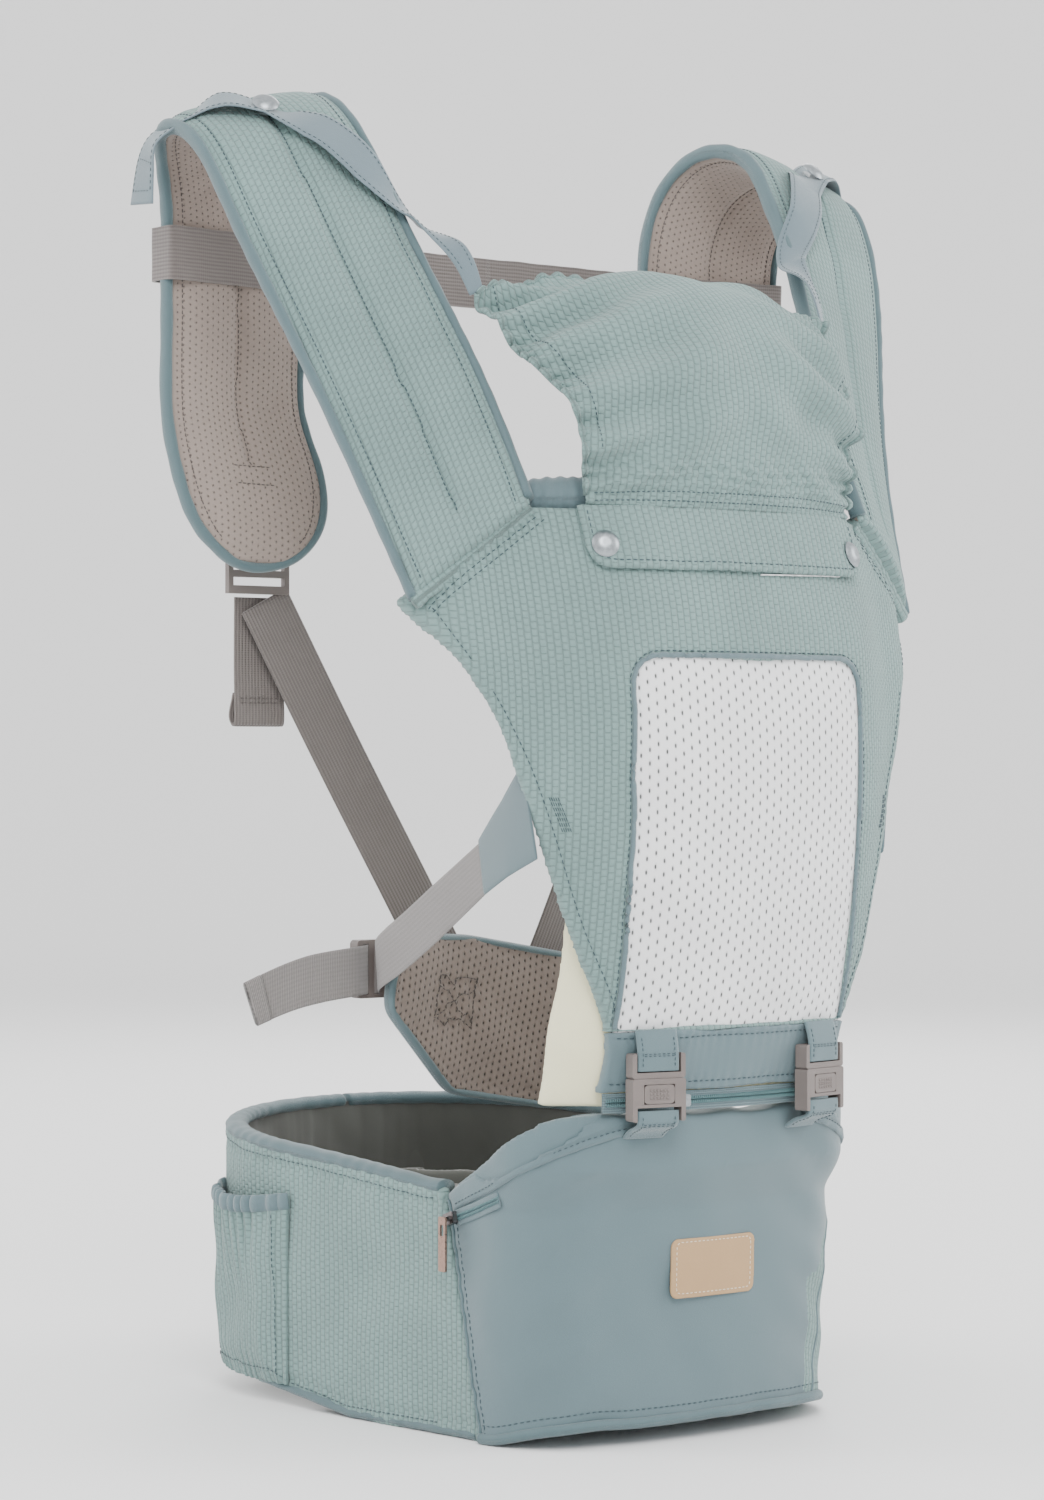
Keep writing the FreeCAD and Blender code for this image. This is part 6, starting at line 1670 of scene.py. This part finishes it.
join_radius = 0.3602
arc_turns = np.linspace(-JOIN_TURN, JOIN_TURN, 80)
arc_out = np.column_stack([np.sin(arc_turns), -np.cos(arc_turns), np.zeros(80)])
front_grid = np.stack([join_arc(join_radius, z, count=80) for z in np.linspace(0.2062, 0.2182, 7)])
tape_front = front_grid + arc_out[None] * 0.2 * MM
tape_back = front_grid - arc_out[None] * 1.0 * MM
join_tape = shell("join_zip_tape", tape_front, tape_back, "tape",
                  coordinates=metric(tape_front)[::-1])
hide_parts("join_zipper_chain")
for number, z in enumerate((0.2112, 0.2138)):
    spring("join_zip_coil_%d" % number, join_arc(join_radius + 1.0 * MM, z, -JOIN_TURN * 0.98,
                                                 JOIN_TURN * 0.98),
           1.0 * MM, 1.5 * MM, 0.36 * MM, (0, 0, 1))

POCKET_X = -0.1304
pocket_start = np.array([POCKET_X, -0.099, 0.136])
pocket_end = np.array([POCKET_X, -0.142, 0.151])
pocket_line = pocket_start + (pocket_end - pocket_start) * np.linspace(-0.02, 1.0, 40)[:, None]
pocket_way = pocket_end - pocket_start
pocket_up = np.cross([1.0, 0, 0], pocket_way)
pocket_up /= np.linalg.norm(pocket_up)
zip_spots, zip_out = snapped(seat_tree, pocket_line[1:], 0.7 * MM, 4.0 * MM)
zip_out[:, 1:] *= 0.3
stations = [(zip_spots[k], pocket_up * 0.0050, zip_out[k]) for k in range(len(zip_spots))]
tape("pocket_zip_tape", ["pocket_zipper_chain"], stations, 1.0 * MM, "twill", "carrier",
     30)
for number, shift in enumerate((-1.15 * MM, 1.15 * MM)):
    spring("pocket_zip_coil_%d" % number, zip_spots + pocket_up * shift + zip_out * 0.7 * MM, 0.7 * MM,
           1.4 * MM,
           0.30 * MM, (1, 0, 0))

# ------------------------------------------------------------------ hard parts

HARD = {"strap_adjusters": "plastic", "push_buckle_housings": "plastic", "push_buckle_tongues": "plastic",
        "push_button_left": "plastic", "push_button_right": "plastic", "join_zipper_slider": "silver",
        "pocket_zipper_slider": "gunmetal", "pocket_zipper_pull": "rose", "snap_caps_lower": "silver",
        "snap_caps_upper": "silver", "snap_studs": "silver", "seat_core": "foam"}
for label in ("left", "right", "chest", "waist"):
    for part in ("socket", "plug", "arm_upper", "arm_lower"):
        HARD["%s_buckle_%s" % (label, part)] = "plastic"
for node, material in HARD.items():
    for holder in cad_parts[node].material_slots:
        holder.link = "OBJECT"
        holder.material = MATERIALS[material]

# grip bumps on the push buttons
for name, side, _ in SIDES:
    bump_points = []
    bump_faces = []
    for column in range(6):
        for row in range(3):
            across_by = (column - 2.5) * 2.3 * MM
            up = -9.5 * MM + (row - 1) * 2.3 * MM
            start = len(bump_points)
            for ring_radius, out in ((0.95, 0.0), (0.80, 0.45), (0.35, 0.62)):
                for k in range(8):
                    angle = k * math.pi / 4
                    bump_points.append(push_point(side, across_by + ring_radius * MM * math.cos(angle),
                                                  -(5.0 + out) * MM, up + ring_radius * MM * math.sin(angle)))
            bump_points.append(push_point(side, across_by, -5.68 * MM, up))
            bump_faces += grid_faces(3, 8, start, wrap=True)
            bump_faces += [(start + 16 + k, start + 16 + (k + 1) % 8, start + 24) for k in range(8)]
            bump_faces.append(tuple(start + k for k in reversed(range(8))))
    piece("push_button_grip_" + name, bump_points, bump_faces, np.zeros((len(bump_points), 2)), "plastic",
          name + "_button")

# ------------------------------------------------------------------ floor, light and camera

FLOOR_FLAT = 4.5
FLOOR_CURVE = 1.5
profile = [(0.01, 0.0), (1.5, 0.0), (FLOOR_FLAT, 0.0)]
profile += [(FLOOR_FLAT + FLOOR_CURVE * math.sin(t), FLOOR_CURVE * (1 - math.cos(t)))
            for t in np.linspace(0.1, math.pi / 2, 14)]
profile.append((FLOOR_FLAT + FLOOR_CURVE, 5.0))
floor_turns = np.linspace(0, 2 * math.pi, 96, endpoint=False)
floor_points = [(r * math.cos(t), r * math.sin(t), z - 0.0005) for r, z in profile for t in floor_turns]
floor_faces = grid_faces(len(profile), 96, wrap=True) + [tuple(range(96))]
floor_mesh = bpy.data.meshes.new("floor")
floor_mesh.from_pydata(floor_points, [], floor_faces)
floor_mesh.shade_smooth()
floor = bpy.data.objects.new("floor", floor_mesh)
link(floor)
ground = Paint("floor_white", 0.9)
ground.shader.inputs["Base Color"].default_value = (0.90, 0.90, 0.90, 1)
floor_mesh.materials.append(ground.material)


def lamp(name, place, aim, size, power, colour=(1, 1, 1)):
    data = bpy.data.lights.new(name, "AREA")
    data.shape = "DISK"
    data.size = size
    data.energy = power
    data.color = colour
    made = bpy.data.objects.new(name, data)
    made.location = place
    made.rotation_euler = (Vector(aim) - Vector(place)).to_track_quat("-Z", "Y").to_euler()
    link(made)


lamp("key", (-1.2, -2.2, 2.3), (0, 0, 0.40), 1.5, 62)
lamp("fill_right", (2.4, -1.6, 1.5), (0, 0, 0.45), 2.0, 45)
lamp("back_left", (-2.3, 1.7, 1.9), (0, 0, 0.45), 1.8, 45)
lamp("back_right", (1.9, 2.1, 2.0), (0, 0, 0.50), 1.6, 36)
world = bpy.data.worlds.new("studio")
world.use_nodes = True
world.node_tree.nodes["Background"].inputs["Color"].default_value = (1.0, 1.0, 1.0, 1)
world.node_tree.nodes["Background"].inputs["Strength"].default_value = 1.5
bpy.context.scene.world = world

CAMERA_AZIMUTH = math.radians(-36)
CAMERA_DISTANCE = 2.4
camera_data = bpy.data.cameras.new("camera")
camera_data.sensor_width = 36
camera_data.sensor_fit = "AUTO"
camera_data.lens = 86.4
camera = bpy.data.objects.new("camera", camera_data)
camera.location = (CAMERA_DISTANCE * math.sin(CAMERA_AZIMUTH),
                   0.010 - CAMERA_DISTANCE * math.cos(CAMERA_AZIMUTH),
                   0.42)
target = Vector((0, 0.010, 0.427))
camera.rotation_euler = (target - camera.location).to_track_quat("-Z", "Y").to_euler()
link(camera)
bpy.context.scene.camera = camera
